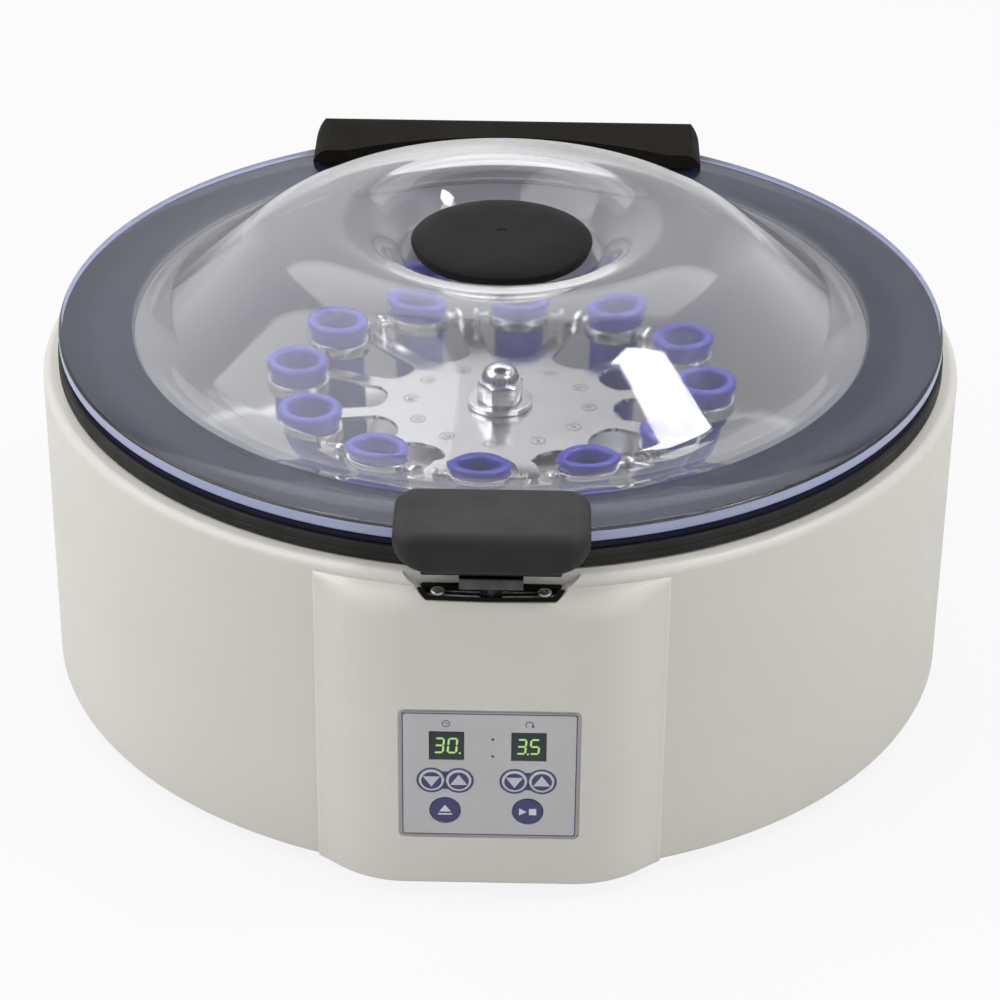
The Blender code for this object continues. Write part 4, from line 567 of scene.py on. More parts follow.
VENT_HALF = 2 * MM
VENT_LOW = REAR_BOX_TOP - 44 * MM
VENT_HIGH = REAR_BOX_TOP - 16 * MM
HOOK_WINDOW_HALF = 4 * MM
HOOK_WINDOW_FRONT = 2.6 * MM
HOOK_WINDOW_BACK = 0.2 * MM


def notch_cutter():
    over = DECK_TOP + OVERRUN
    top_half = NOTCH_FLOOR_HALF + NOTCH_SLOPE * (over - NOTCH_FLOOR)
    outline = [(-NOTCH_FLOOR_HALF, NOTCH_FLOOR), (NOTCH_FLOOR_HALF, NOTCH_FLOOR),
               (top_half, over), (-top_half, over)]
    return prism(rounded_profile(outline, NOTCH_ROUND), -CONSOLE_REACH - OVERRUN, -NOTCH_BACK, "Y")


def recess_cutter():
    half = PANEL_HALF + RECESS_MARGIN
    outline = rounded_rectangle(-half, half, PANEL_LOW.z - RECESS_MARGIN, PANEL_HIGH.z + RECESS_MARGIN,
                                RECESS_CORNER)
    return prism(outline, -CONSOLE_REACH - OVERRUN, RECESS_DEPTH - CONSOLE_REACH, "Y")


def vent_cutters():
    slots = []
    for index in range(VENT_COUNT):
        x = (index - (VENT_COUNT - 1) / 2) * VENT_PITCH
        outline = rounded_rectangle(x - VENT_HALF, x + VENT_HALF, VENT_LOW, VENT_HIGH, VENT_HALF * 0.98)
        slots.append(prism(outline, REAR_REACH - 2 * WALL, REAR_REACH + OVERRUN, "Y"))
    return slots


def make_housing():
    low = BODY_BOTTOM - OVERRUN
    under = NOTCH_FLOOR - 2 * WALL
    outside = joined(body_block(0, BODY_BOTTOM, DECK_TOP, SHOULDER, FOOT_ROUND),
                     rear_block(0, BODY_BOTTOM, REAR_BOX_TOP, REAR_BOX_ROUND, FOOT_ROUND),
                     console_block(0, BODY_BOTTOM, FOOT_ROUND))
    inside = joined(body_block(WALL, low, NOTCH_FLOOR - WALL, SHOULDER),
                    rear_block(WALL, low, REAR_BOX_TOP - WALL, REAR_BOX_ROUND))
    pocket = box((-CONSOLE_FLAT_HALF, -CONSOLE_REACH + WALL, low), (CONSOLE_FLAT_HALF, -CONSOLE_ROOT, under))
    mouth = rod(MOUTH_RADIUS, under, DECK_TOP + OVERRUN, ROUND_SIDES)
    hook = box((-HOOK_WINDOW_HALF, -CONSOLE_REACH + HOOK_WINDOW_FRONT, under),
               (HOOK_WINDOW_HALF, -NOTCH_BACK + HOOK_WINDOW_BACK, NOTCH_FLOOR + OVERRUN))
    inlet_hole = box((INLET_LOW.x + INLET_MARGIN, REAR_REACH - 2 * WALL, INLET_LOW.z + INLET_MARGIN),
                     (INLET_HIGH.x - INLET_MARGIN, REAR_REACH + OVERRUN, INLET_HIGH.z - INLET_MARGIN))
    shape = carved(outside, inside, pocket, mouth, notch_cutter(), merged(recess_cutter(), hook),
                   merged(inlet_hole, *vent_cutters()))
    piece("housing_shell", shape, SHELL, "base", "housing", weighted=True)


# Lid: clear dome, seal, cap, handle and hinge carrier
LID_LOW, LID_HIGH = span("lid_dome")
LID_RADIUS = LID_HIGH.x
FLANGE = 5.7 * MM
FLANGE_BOTTOM = LID_LOW.z
FLANGE_TOP = FLANGE_BOTTOM + FLANGE
FLANGE_ROUND = 1.5 * MM
LID_SUMMIT = LID_HIGH.z
DOME_WALL = 4 * MM
SUMMIT_RADIUS = 65 * MM
DOME_ARC = 66 * MM
DOME_SLOPE = 40
DOME_FOOT_RADIUS = 146 * MM
DOME_FILLET = 20 * MM
FILLET_STEPS = 16
DISH_RADIUS = 40 * MM
DISH_FLOOR = LID_SUMMIT - 13.5 * MM
DISH_SHARE = 0.65
DISH_STEPS = 20
CAP_HOLE = 18 * MM
GASKET_LOW, GASKET_HIGH = span("rim_gasket")
GASKET_LIP = 176.3 * MM
GASKET_INNER = 171.6 * MM
GASKET_OUTER = GASKET_HIGH.x - 1.3 * MM
GASKET_STEP = DECK_TOP + 1.8 * MM
GASKET_GROOVE = 0.5 * MM
SEAL_LOW, SEAL_HIGH = span("lid_seal")
SEAL_INNER = 147.8 * MM
CAP_LOW, CAP_HIGH = span("vent_cap")
HANDLE_LOW, HANDLE_HIGH = span("latch_handle")


def dome_surface(drop):
    """Profile from the cap's hole out over the summit and down the slope."""
    floor = DISH_FLOOR - drop
    summit = LID_SUMMIT - drop
    points = [(CAP_HOLE, floor), ((CAP_HOLE + DISH_RADIUS) / 2, floor)]
    for step in range(DISH_STEPS):
        share = (step / DISH_STEPS) ** DISH_SHARE
        radius = DISH_RADIUS + (SUMMIT_RADIUS - DISH_RADIUS) * step / DISH_STEPS
        points.append((radius, floor + (summit - floor) * (1 - math.cos(math.pi * share)) / 2))
    return points + arc(SUMMIT_RADIUS, LID_SUMMIT - DOME_ARC, DOME_ARC - drop, 90, 90 - DOME_SLOPE, 28)


def make_dome():
    fillet_height = FLANGE_TOP + DOME_FILLET
    fillet = arc(DOME_FOOT_RADIUS, fillet_height, DOME_FILLET, -90 - DOME_SLOPE, -90, FILLET_STEPS)
    edge = LID_RADIUS - FLANGE_ROUND
    clear_edge = SEAL_INNER + BITE
    rim = arc(edge, FLANGE_TOP - FLANGE_ROUND, FLANGE_ROUND, 90, 0, 5)
    rim += arc(edge, FLANGE_BOTTOM + FLANGE_ROUND, FLANGE_ROUND, 0, -90, 5)
    foot = []
    for step in range(FILLET_STEPS + 1):
        turn = -90 - DOME_SLOPE * step / FILLET_STEPS
        reach = DOME_FILLET + FLANGE + (DOME_WALL - FLANGE) * step / FILLET_STEPS
        foot.append((DOME_FOOT_RADIUS + reach * cosd(turn), fillet_height + reach * sind(turn)))
    profile = [*dome_surface(0), *fillet, (clear_edge, FLANGE_TOP), *rim, (clear_edge, FLANGE_BOTTOM), *foot,
               *dome_surface(DOME_WALL)[::-1]]
    dome = piece("lid_dome_clear", turned(profile, ROUND_SIDES), DOME_CLEAR, "lid", "lid_dome")
    dome.data.materials.append(FLANGE_CLEAR)
    dome.data.materials.append(EDGE_CLEAR)
    for face in dome.data.polygons:
        reach = math.hypot(face.center.x, face.center.y)
        if reach > edge and face.normal.z < 0.4:
            face.material_index = 2
        elif reach > clear_edge:
            face.material_index = 1


def make_seals():
    seal = rounded_profile([(SEAL_INNER, SEAL_LOW.z), (SEAL_HIGH.x, SEAL_LOW.z), (SEAL_HIGH.x, SEAL_HIGH.z),
                            (SEAL_INNER, SEAL_HIGH.z)], 0.5 * MM)
    piece("lid_seal_ring", turned(seal, ROUND_SIDES), SEAL, "lid", "lid_seal")
    low, high = GASKET_LOW.z, GASKET_HIGH.z
    groove_height = (low + high) / 2
    profile = [(GASKET_INNER, GASKET_STEP), (GASKET_LIP, GASKET_STEP), (GASKET_LIP, low), (GASKET_OUTER, low),
               (GASKET_OUTER, groove_height - GASKET_GROOVE), (GASKET_OUTER - GASKET_GROOVE, groove_height),
               (GASKET_OUTER, groove_height + GASKET_GROOVE), (GASKET_OUTER, high), (GASKET_INNER, high)]
    gasket = turned(rounded_profile(profile, 1.4 * MM), ROUND_SIDES)
    piece("rim_gasket_band", gasket, RUBBER, "base", "rim_gasket")


def make_cap():
    radius = CAP_HIGH.x
    seat = DISH_FLOOR + GAP
    stem = CAP_HOLE - GAP
    bore = stem - 2.4 * MM
    rise, barb, barb_top, dimple, side, foot_in, rim_in = mm(4.3, 2.5, 2.6, 0.45, 1.5, 1.4, 0.5)
    rim_height = CAP_HIGH.z - rise
    crown = [(radius * cosd(90 * step / 16) ** 0.55, rim_height + rise * sind(90 * step / 16))
             for step in range(16)]
    profile = [(0, seat), (bore, seat), (bore, CAP_LOW.z), (stem, CAP_LOW.z), (stem + BITE, CAP_LOW.z + barb),
               (stem, CAP_LOW.z + barb_top), (stem, seat), (radius - foot_in, seat),
               (radius - rim_in, rim_height - side), *crown, (2.2 * MM, CAP_HIGH.z - 0.05 * MM),
               (1.9 * MM, CAP_HIGH.z - dimple), (0, CAP_HIGH.z - dimple)]
    piece("vent_cap_moulding", turned(profile, MIDDLE_SIDES), CAP_PLASTIC, "lid", "vent_cap")


def flange_room():
    """The space inside the handle and the carrier that the flange, seal and gasket take."""
    clear = LID_RADIUS + GAP
    gasket = GASKET_HIGH.x + 2 * GAP
    step = FLANGE_BOTTOM - 2 * GAP
    low, top = DECK_TOP - OVERRUN, FLANGE_TOP + GAP
    room = [(0, low), (gasket, low), (gasket, step), (clear, step), (clear, top), (0, top)]
    return turned(room, ROUND_SIDES)


HANDLE_STEP = 4.5 * MM
HANDLE_STEP_HALF = 25.4 * MM
HANDLE_STEP_BACK = 7.8 * MM


def make_handle():
    half, front, back = HANDLE_HIGH.x, HANDLE_LOW.y, HANDLE_HIGH.y
    low, top = HANDLE_LOW.z + HANDLE_STEP, HANDLE_HIGH.z
    lower_corner, corner, top_round, foot = mm(9.5, 9, 5, 2.5)
    rings = []

    def ring(width_in, depth_in, height):
        outline = rounded_rectangle(width_in - half, half - width_in, front + depth_in, back - depth_in,
                                    max(corner - depth_in, BITE), 10)
        rings.append([(x, y, height) for x, y in outline])

    for turn in range(0, 91, 6):
        height = low + lower_corner * (1 - cosd(turn))
        share = min((height - low) / foot, 1)
        ring(lower_corner * (1 - sind(turn)), foot * (1 - math.sqrt(1 - (1 - share) ** 2)), height)
    for turn in range(0, 91, 10):
        lead = top_round * (1 - cosd(turn))
        ring(lead, lead, top - top_round + top_round * sind(turn))
    step = rounded_rectangle(-HANDLE_STEP_HALF, HANDLE_STEP_HALF, front + HANDLE_STEP_BACK, back - BITE, BITE)
    step = softened(prism(step, HANDLE_LOW.z, low + OVERRUN), 0.4 * MM)
    shape = carved(joined(loft(rings), step), flange_room())
    piece("latch_handle_grip", shape, BLACK_SOFT, "lid", "latch_handle", weighted=True)


PIN_LOW, PIN_HIGH = span("hinge_pin")
HINGE_Y = (PIN_LOW.y + PIN_HIGH.y) / 2
HINGE_Z = (PIN_LOW.z + PIN_HIGH.z) / 2
KNUCKLE = 5.5 * MM
PIN_HOLE = 2.8 * MM
PIN_RADIUS = 2.5 * MM
CARRIER_HALF = span("hinge_carrier")[1].x
CARRIER_TOP = span("hinge_carrier")[1].z
CARRIER_LOW = 142.5 * MM
CARRIER_FRONT = 140 * MM
CARRIER_BACK = 186 * MM
CARRIER_HOLLOW = 157 * MM
CARRIER_BACK_ROUND = 14 * MM


def hinge_lugs(outline, near, far, edge):
    """A lug left and right, bored for the hinge pin."""
    lugs = []
    for start, end in ((-far, -near), (near, far)):
        bore = moved(rod(PIN_HOLE, start - BITE, end + BITE, TINY_SIDES, "X"), y=HINGE_Y, z=HINGE_Z)
        lugs.append(softened(carved(prism(outline, start, end, "X"), bore), edge))
    return lugs


def make_carrier():
    half, front, back, low, top = CARRIER_HALF, CARRIER_FRONT, CARRIER_BACK, CARRIER_LOW, CARRIER_TOP
    back_round, edge, slack = CARRIER_BACK_ROUND, 2 * MM, 0.1 * MM
    side = [(front, low), *arc(back - edge, low + edge, edge, -90, 0, 4),
            *arc(back - back_round, top - back_round, back_round, 0, 90, 16), (front, top)]
    shape = prism(side, -half - BITE, half + BITE, "X")
    view = rounded_rectangle(-half, half, low - 12 * MM, top + slack, 8 * MM, 8)
    shape = boolean(shape, prism(view, front - BITE, back + BITE, "Y"), "INTERSECT")
    plan = rounded_rectangle(-half - slack, half + slack, front - 30 * MM, back + slack, 20 * MM, 12)
    shape = boolean(shape, prism(plan, low - BITE, top + BITE), "INTERSECT")
    shape = carved(shape, rod(CARRIER_HOLLOW, DECK_TOP, top + OVERRUN, ROUND_SIDES), flange_room())
    root = back - back_round / 2
    arm = [(root, HINGE_Z + KNUCKLE), (root, low + BITE)]
    arm += [(HINGE_Y + KNUCKLE * cosd(turn), HINGE_Z + KNUCKLE * sind(turn)) for turn in range(-150, 91, 12)]
    shape = merged(softened(shape, 0.6 * MM, 3), *hinge_lugs(arm, 60 * MM, 70 * MM, 0.5 * MM))
    piece("hinge_carrier_block", shape, BLACK_GLOSS, "lid", "hinge_carrier", weighted=True)


def make_hinge_base():
    low, high = span("hinge_bracket")
    base_top = low.z + 2.5 * MM
    sheet = rounded_rectangle(low.x, high.x, low.y, high.y, 3 * MM)
    lug = [(HINGE_Y - KNUCKLE, base_top - BITE), (HINGE_Y + KNUCKLE, base_top - BITE),
           *arc(HINGE_Y, HINGE_Z, KNUCKLE, 0, 180, 16)]
    screws = [moved(screw_head(3.2 * MM, 1.8 * MM), x=x, y=HINGE_Y, z=base_top) for x in mm(-36, -12, 12, 36)]
    sheet = softened(prism(sheet, low.z, base_top), 0.3 * MM)
    shape = merged(sheet, *hinge_lugs(lug, 51 * MM, 59 * MM, 0.4 * MM), *screws)
    piece("hinge_bracket_sheet", shape, PLATED, "base", "hinge_bracket")
    reach = PIN_HIGH.x
    head = PIN_HIGH.z - HINGE_Z
    head_width, edge = mm(1.5, 0.5)
    profile = [(0, -reach), *arc(head - edge, edge - reach, edge, -90, 0, 3), (head, head_width - reach),
               (PIN_RADIUS, head_width - reach), (PIN_RADIUS, reach - head_width), (head, reach - head_width),
               *arc(head - edge, reach - edge, edge, 0, 90, 3), (0, reach)]
    pin = moved(turned(profile, TINY_SIDES, "X"), y=HINGE_Y, z=HINGE_Z)
    piece("hinge_pin_rod", pin, RING_STEEL, "base", "hinge_pin")


def screw_head(radius, height):
    """A pan head with a cross recess, standing on z = 0."""
    rim, steps = 0.35, 8
    dome = [(radius * cosd(90 * step / steps), height * (rim + (1 - rim) * sind(90 * step / steps)))
            for step in range(steps - 1, 0, -1)]
    profile = [(0, height), *dome, (radius, height * rim), (radius, -BITE), (0, -BITE)]
    bar, reach, recess = radius * 0.16, radius * 0.55, height * 0.45
    return carved(turned(profile, TINY_SIDES), box((-reach, -bar, recess), (reach, bar, height + BITE)),
                  box((-bar, -reach, recess), (bar, reach, height + BITE)))


# Bowl, boot and rotor
BOWL_LOW, BOWL_HIGH = span("bowl")
BOWL_SHEET = 1.2 * MM
BOWL_RADIUS = 170 * MM
BOWL_CORNER = 12 * MM
HAT_TOP = 92 * MM
HAT_RADIUS = 56 * MM
HAT_FOOT = 61 * MM
HAT_HOLE = 16 * MM
PIVOT_RADIUS = 84 * MM
PIVOT_HEIGHT = 112 * MM
PIN_REACH = 19.2 * MM
PLATE_TOP = 107.5 * MM
PLATE_SHEET = 2 * MM
SHAFT_RADIUS = 4 * MM
SHAFT_HOLE = 4.3 * MM
STATIONS = 12
STATION_PHASE = -94.5
STATION_TURNS = [STATION_PHASE + station * 360 / STATIONS for station in range(STATIONS)]


def make_bowl():
    floor, top, sheet, radius = BOWL_LOW.z + BOWL_SHEET, BOWL_HIGH.z, BOWL_SHEET, BOWL_RADIUS
    hat_round, foot_round, lip, shoulder = mm(6, 5, 1.5, 8)
    corner_u, corner_v = radius - BOWL_CORNER, floor + BOWL_CORNER
    inner = [(HAT_HOLE, HAT_TOP), *arc(HAT_RADIUS - hat_round, HAT_TOP - hat_round, hat_round, 90, 5, 8),
             *arc(HAT_FOOT + foot_round, floor + foot_round, foot_round, 175, 270, 8),
             *arc(corner_u, corner_v, BOWL_CORNER, -90, 0, 12),
             *arc(radius + lip, top - lip, lip, 180, 90, 5), (BOWL_HIGH.x, top)]
    outer = [(BOWL_HIGH.x, top - sheet), (radius + sheet, top - sheet),
             *arc(corner_u, corner_v, BOWL_CORNER + sheet, 0, -90, 12), (HAT_FOOT, floor - sheet),
             (HAT_RADIUS - sheet, HAT_TOP - shoulder), (HAT_RADIUS - shoulder, HAT_TOP - sheet),
             (HAT_HOLE, HAT_TOP - sheet)]
    piece("chamber_bowl", turned(inner + outer, ROUND_SIDES), BOWL_METAL, "base", "bowl")


def make_boot():
    low, high = span("shaft_boot")
    seat, throat, plug, wall, lip, collar = mm(92.3, 4.6, 15.7, 1.8, 2, 3)
    profile = [(throat, high.z), (throat, high.z - lip), (plug - wall, seat), (plug - wall, low.z),
               (plug, low.z), (plug, seat), (high.x, seat), (high.x, seat + lip), (plug, seat + lip),
               (12 * MM, seat + 3.2 * MM), (9.5 * MM, seat + collar), (throat + wall, high.z)]
    shape = turned(rounded_profile(profile, 0.5 * MM, 3), SMALL_SIDES)
    piece("shaft_boot_rubber", shape, RUBBER, "base", "shaft_boot")


def slot_outline():
    """Plan of one slot about +X, from its open end in to its root and out again."""
    root, root_round, arm, half_width, tip_radius, tip_round = mm(47, 7, 8, 16.8, 90, 1.5)
    half_step = math.pi / STATIONS
    slope = math.tan(half_step)
    edge = arm / 2 / math.cos(half_step)
    flare = (half_width + edge) / slope
    root_half = slope * (root + root_round) - edge
    side = arc(tip_radius - tip_round, half_width + tip_round, tip_round, 0, -90, 4)
    side += [(flare + 2 * MM, half_width), (flare, half_width - 0.15 * MM),
             (flare - 2 * MM, half_width - 0.7 * MM)]
    turns = [90 + 180 * step / 24 for step in range(25)]
    inner = [(root + root_round + root_round * cosd(turn), root_half * sind(turn)) for turn in turns]
    return side + inner + [(x, -y) for x, y in reversed(side)]


def plate_outline():
    return [(x * cosd(turn) - y * sind(turn), x * sind(turn) + y * cosd(turn))
            for turn in STATION_TURNS for x, y in reversed(slot_outline())]


def lug_shape(side):
    """One lug folded up from the plate beside a slot, with its bend and its round top."""
    near, far, radius, bend_radius, bite, sunk = mm(17.1, 18.9, 4.5, 1.4, 0.3, 0.2)
    outline = [(PIVOT_RADIUS - radius, PLATE_TOP - 1.6 * MM), (PIVOT_RADIUS + radius, PLATE_TOP - 1.6 * MM),
               *arc(PIVOT_RADIUS, PIVOT_HEIGHT, radius, 0, 180, 20)]
    lug = prism(outline, min(side * near, side * far), max(side * near, side * far), "Y")
    hole = moved(rod(2.1 * MM, -30 * MM, 30 * MM, TINY_SIDES, "Y"), x=PIVOT_RADIUS, z=PIVOT_HEIGHT)
    lug = softened(carved(lug, hole), 0.25 * MM)
    bend = [(far, PLATE_TOP - sunk)]
    bend += [(far + bend_radius * (1 - sind(turn)), PLATE_TOP + bend_radius * (1 - cosd(turn)))
             for turn in range(0, 91, 15)]
    bend += [(far - bite, PLATE_TOP + bend_radius), (far - bite, PLATE_TOP - sunk)]
    length = radius - 0.2 * MM
    fillet = prism([(side * y, z) for y, z in bend], PIVOT_RADIUS - length, PIVOT_RADIUS + length, "X")
    return merged(lug, fillet)


def lettering(text, size, depth):
    """Plain characters as a mesh lying in XY, centred."""
    curve = bpy.data.curves.new("characters", "FONT")
    curve.body = text
    curve.size = size
    curve.extrude = depth
    curve.offset = size / 60
    curve.align_x = "CENTER"
    curve.align_y = "CENTER"
    curve.resolution_u = 4
    item = scratch_object("characters", curve)
    shape = final_shape(item)
    bpy.data.objects.remove(item, do_unlink=True)
    bpy.data.curves.remove(curve)
    return shape


def make_rotor():
    plate = softened(prism(plate_outline(), PLATE_TOP - PLATE_SHEET, PLATE_TOP), 0.25 * MM, angle=60)
    shapes = [carved(plate, rod(SHAFT_HOLE, PLATE_TOP - 2 * PLATE_SHEET, PLATE_TOP + OVERRUN))]
    marks = []
    ink = 0.04 * MM
    for turn in STATION_TURNS:
        shapes += [spun(lug_shape(1), turn), spun(lug_shape(-1), turn)]
    piece("rotor_plate_steel", merged(*shapes), STEEL, "rotor", "rotor_plate", weighted=True)
    for number, turn in enumerate(STATION_TURNS, 1):
        mark = merged(lettering(str(number), 4 * MM, ink), hoop(2.8 * MM, 3.2 * MM, -ink, ink))
        marks.append(spun(moved(spun(mark, 90), x=37 * MM, z=PLATE_TOP + 0.05 * MM), turn))
    piece("rotor_numbers", merged(*marks), MARKING, "rotor")
    low, high = span("motor_shaft")
    neck, step, seat, flange, edge = mm(10, 99.5, 102, 22, 0.5)
    flange_top = PLATE_TOP - PLATE_SHEET - GAP
    profile = [(0, low.z), (SHAFT_RADIUS, low.z), (SHAFT_RADIUS, step), (neck, step), (neck, seat),
               *arc(flange - edge, seat + edge, edge, -90, 0, 3),
               *arc(flange - edge, flange_top - edge, edge, 0, 90, 3),
               (SHAFT_RADIUS, flange_top), (SHAFT_RADIUS, high.z), (0, high.z)]
    piece("drive_shaft", turned(profile, SMALL_SIDES), CHROME, "rotor", "motor_shaft")
    make_nut()


def make_nut():
    low, high = span("cap_nut")
    washer, cone, cone_end, hexagon, crown, neck = mm(13.5, 9.6, 8.6, 9.5, 7.9, 0.8)
    washer_top = low.z + 2.4 * MM
    hex_top = 119.5 * MM
    flat = turned(rounded_profile([(SHAFT_HOLE, low.z), (washer, low.z), (washer, washer_top),
                                   (SHAFT_HOLE, washer_top)], 0.4 * MM), SMALL_SIDES)
    chamfer = turned([(0, washer_top - BITE), (cone_end, washer_top - BITE), (cone, washer_top + 0.8 * MM),
                      (cone, hex_top - 0.9 * MM), (8.2 * MM, hex_top + 0.2 * MM), (0, hex_top + 0.2 * MM)],
                     SMALL_SIDES)
    sides = boolean(spun(rod(hexagon, washer_top, hex_top, 6), 10), chamfer, "INTERSECT")
    rise = high.z - hex_top - neck
    dome = [(crown * cosd(turn) ** 0.8, hex_top + neck + rise * sind(turn)) for turn in range(8, 84, 8)]
    dome = turned([(0, hex_top - BITE), (crown, hex_top - BITE), (crown, hex_top + neck), *dome, (0, high.z)],
                  SMALL_SIDES)
    shape = merged(flat, softened(sides, 0.15 * MM, angle=40), dome)
    piece("cap_nut_chrome", shape, CHROME, "rotor", "cap_nut")


def cup_shape():
    low, high = span("bucket_01")
    depth, top = PIVOT_HEIGHT - low.z, high.z - PIVOT_HEIGHT
    sleeve, bore, collar, rim, end, step, floor = mm(10.5, 8.8, 13, 1.6, 6, 0.5, 3.5)
    outer = [(0, -depth), *arc(sleeve - end, end - depth, end, -90, 0, 8), (sleeve, 3.3 * MM),
             *arc(sleeve + 0.8 * MM, 3.8 * MM, step, -90, 0, 3), (sleeve + 1.4 * MM, 6 * MM),
             (collar, 8.6 * MM), *arc(collar - rim, top - rim, rim, 0, 90, 7),
             *arc(bore + rim, top - rim, rim, 90, 180, 6), (bore, 8 * MM),
             *arc(0, bore - depth + floor, bore, 0, -85, 8), (0, floor - depth)]
    return turned(outer, SMALL_SIDES)


def ring_shape():
    inner, outer, half, pin, pin_start = mm(10.8, 13, 3, 1.8, 11.9)
    shoulder, start, end, edge = mm(2.9, 12.4, 14.2, 0.3)
    section = [(inner, -half), (outer, -half), (outer, half), (inner, half)]
    band = turned(rounded_profile(section, 0.5 * MM, 3), SMALL_SIDES)
    bars = ((pin, pin_start, PIN_REACH), (pin, -PIN_REACH, -pin_start), (shoulder, start, end),
            (shoulder, -end, -start))
    return merged(band, *(rod(*bar, TINY_SIDES, "Y", edge) for bar in bars))


def make_cups():
    for number, turn in enumerate(STATION_TURNS, 1):
        place = AXIS + Vector((PIVOT_RADIUS * cosd(turn), PIVOT_RADIUS * sind(turn), PIVOT_HEIGHT))
        cup = f"cup_{number:02d}"
        piece(f"{cup}_sleeve", cup_shape(), BLUE, cup, f"bucket_{number:02d}", place,
              math.radians(turn))
        piece(f"{cup}_ring", ring_shape(), RING_STEEL, cup, f"bucket_ring_{number:02d}", place,
              math.radians(turn))


# Latch parts
PLATE_SHEET_WING = 1.1 * MM
SLOT_HALF = 3.7 * MM
SLOT_FRONT = -187.6 * MM
SLOT_BACK = -179.9 * MM
SCREW_X = 19.3 * MM
SCREW_Y = -184.2 * MM
TAB_Y = -184.7 * MM
HOOK_HALF = 1.2 * MM
HOOK_FRONT = -186.4 * MM
HOOK_BACK = -180.4 * MM


def latch_outline(height, margin):
    """The notch's form, less a margin, up to a height."""
    foot, head = [NOTCH_FLOOR_HALF - margin + NOTCH_SLOPE * (z - NOTCH_FLOOR) for z in (PLATE_BOTTOM, height)]
    outline = [(-foot, PLATE_BOTTOM), (foot, PLATE_BOTTOM), (head, height), (-head, height)]
    return rounded_profile(outline, BITE)


def make_latch():
    low, high = PLATE_LOW, PLATE_HIGH
    floor, back, top = PLATE_BOTTOM + 1.2 * MM, high.y - 1.6 * MM, DECK_TOP - 4.6 * MM
    skin = joined(console_block(GAP, NOTCH_FLOOR - BITE),
                  body_block(GAP, NOTCH_FLOOR - BITE, DECK_TOP - 2 * GAP, SHOULDER))
    sheet = boolean(prism(latch_outline(DECK_TOP, GAP), low.y, high.y, "Y"), skin, "INTERSECT")
    floor_half, top_half = NOTCH_FLOOR_HALF - PLATE_SHEET_WING, NOTCH_TOP_HALF - PLATE_SHEET_WING
    hollow = rounded_profile([(-floor_half, floor), (floor_half, floor), (top_half, DECK_TOP),
                              (-top_half, DECK_TOP)], 2 * MM)
    over = box((-NOTCH_TOP_HALF, back - OVERRUN, top), (NOTCH_TOP_HALF, high.y + OVERRUN, DECK_TOP + OVERRUN))
    sheet = carved(sheet, prism(hollow, low.y - OVERRUN, back, "Y"), over)
    sheet = joined(sheet, prism(latch_outline(top, 2 * GAP), back - GAP, high.y, "Y"))
    slot = box((-SLOT_HALF, SLOT_FRONT, low.z - BITE), (SLOT_HALF, SLOT_BACK, floor + BITE))
    sheet = softened(carved(sheet, slot), 0.2 * MM)
    piece("latch_plate_black", sheet, BLACK_MATT, "base", "latch_plate")
    screws = [moved(screw_head(2.6 * MM, 1.3 * MM), x=x, y=SCREW_Y, z=floor) for x in (-SCREW_X, SCREW_X)]
    piece("latch_plate_screws", merged(*screws), PLATED, "base")
    make_striker()
    bolt = softened(box(*span("latch_bolt")), 0.3 * MM)
    piece("latch_bolt_steel", bolt, CHROME, "bolt", "latch_bolt")


def make_striker():
    low, high = span("latch_striker")
    under = high.z - 2 * MM
    half, lip_back, drop = mm(3.8, 2.2, 3)
    tab = rounded_profile([(half, high.z), (-half, high.z), (-half, under - drop), (-lip_back, under - drop),
                           (-lip_back, under), (half, under)], 0.9 * MM)
    tab = moved(prism(tab, low.x, high.x, "X"), y=TAB_Y)
    hook = box((-HOOK_HALF, HOOK_FRONT, low.z), (HOOK_HALF, HOOK_BACK, under + BITE))
    window = box(mm(-2.2, -185.5, 116.3), mm(2.2, -181.3, 121.5))
    hook = softened(carved(hook, window), 0.25 * MM)
    # The tab's dark steel colour is painted shade from the handle above it.
    piece("latch_striker_tab", tab, SHADED_LATCH_STEEL, "lid", "latch_striker")
    piece("latch_striker_hook", hook, HARD_STEEL, "lid", "latch_striker")


# Keypad
PAIR_X = (-16.3 * MM, 14.4 * MM)
PAIR_Z = 53.4 * MM
ROUND_Z = 39.9 * MM
KEY_SPREAD = 5.05 * MM
KEY_RADIUS = 4.7 * MM
ROUND_KEY_RADIUS = 5.6 * MM
DISPLAY_X = (-15.8 * MM, 14.5 * MM)
DISPLAY_Z = 68.8 * MM
DISPLAY_HALF = 6.5 * MM
DISPLAY_HALF_HEIGHT = 6.35 * MM
PANEL_BACK_HALF = 28.8 * MM
PANEL_BACK_MARGIN = 3.6 * MM
SYMBOL_Z = DISPLAY_Z + 9.8 * MM
PRINT = 0.06 * MM


def disc(x, z, radius, low, high, edge=0):
    """A round bar along Y at a place on the panel."""
    return moved(rod(radius, low, high, SMALL_SIDES, "Y", edge), x=x, z=z)


def printed(outline, face=0.0):
    """An outline as a thin print on a face."""
    return prism(outline, face - PRINT, face + PRINT, "Y")


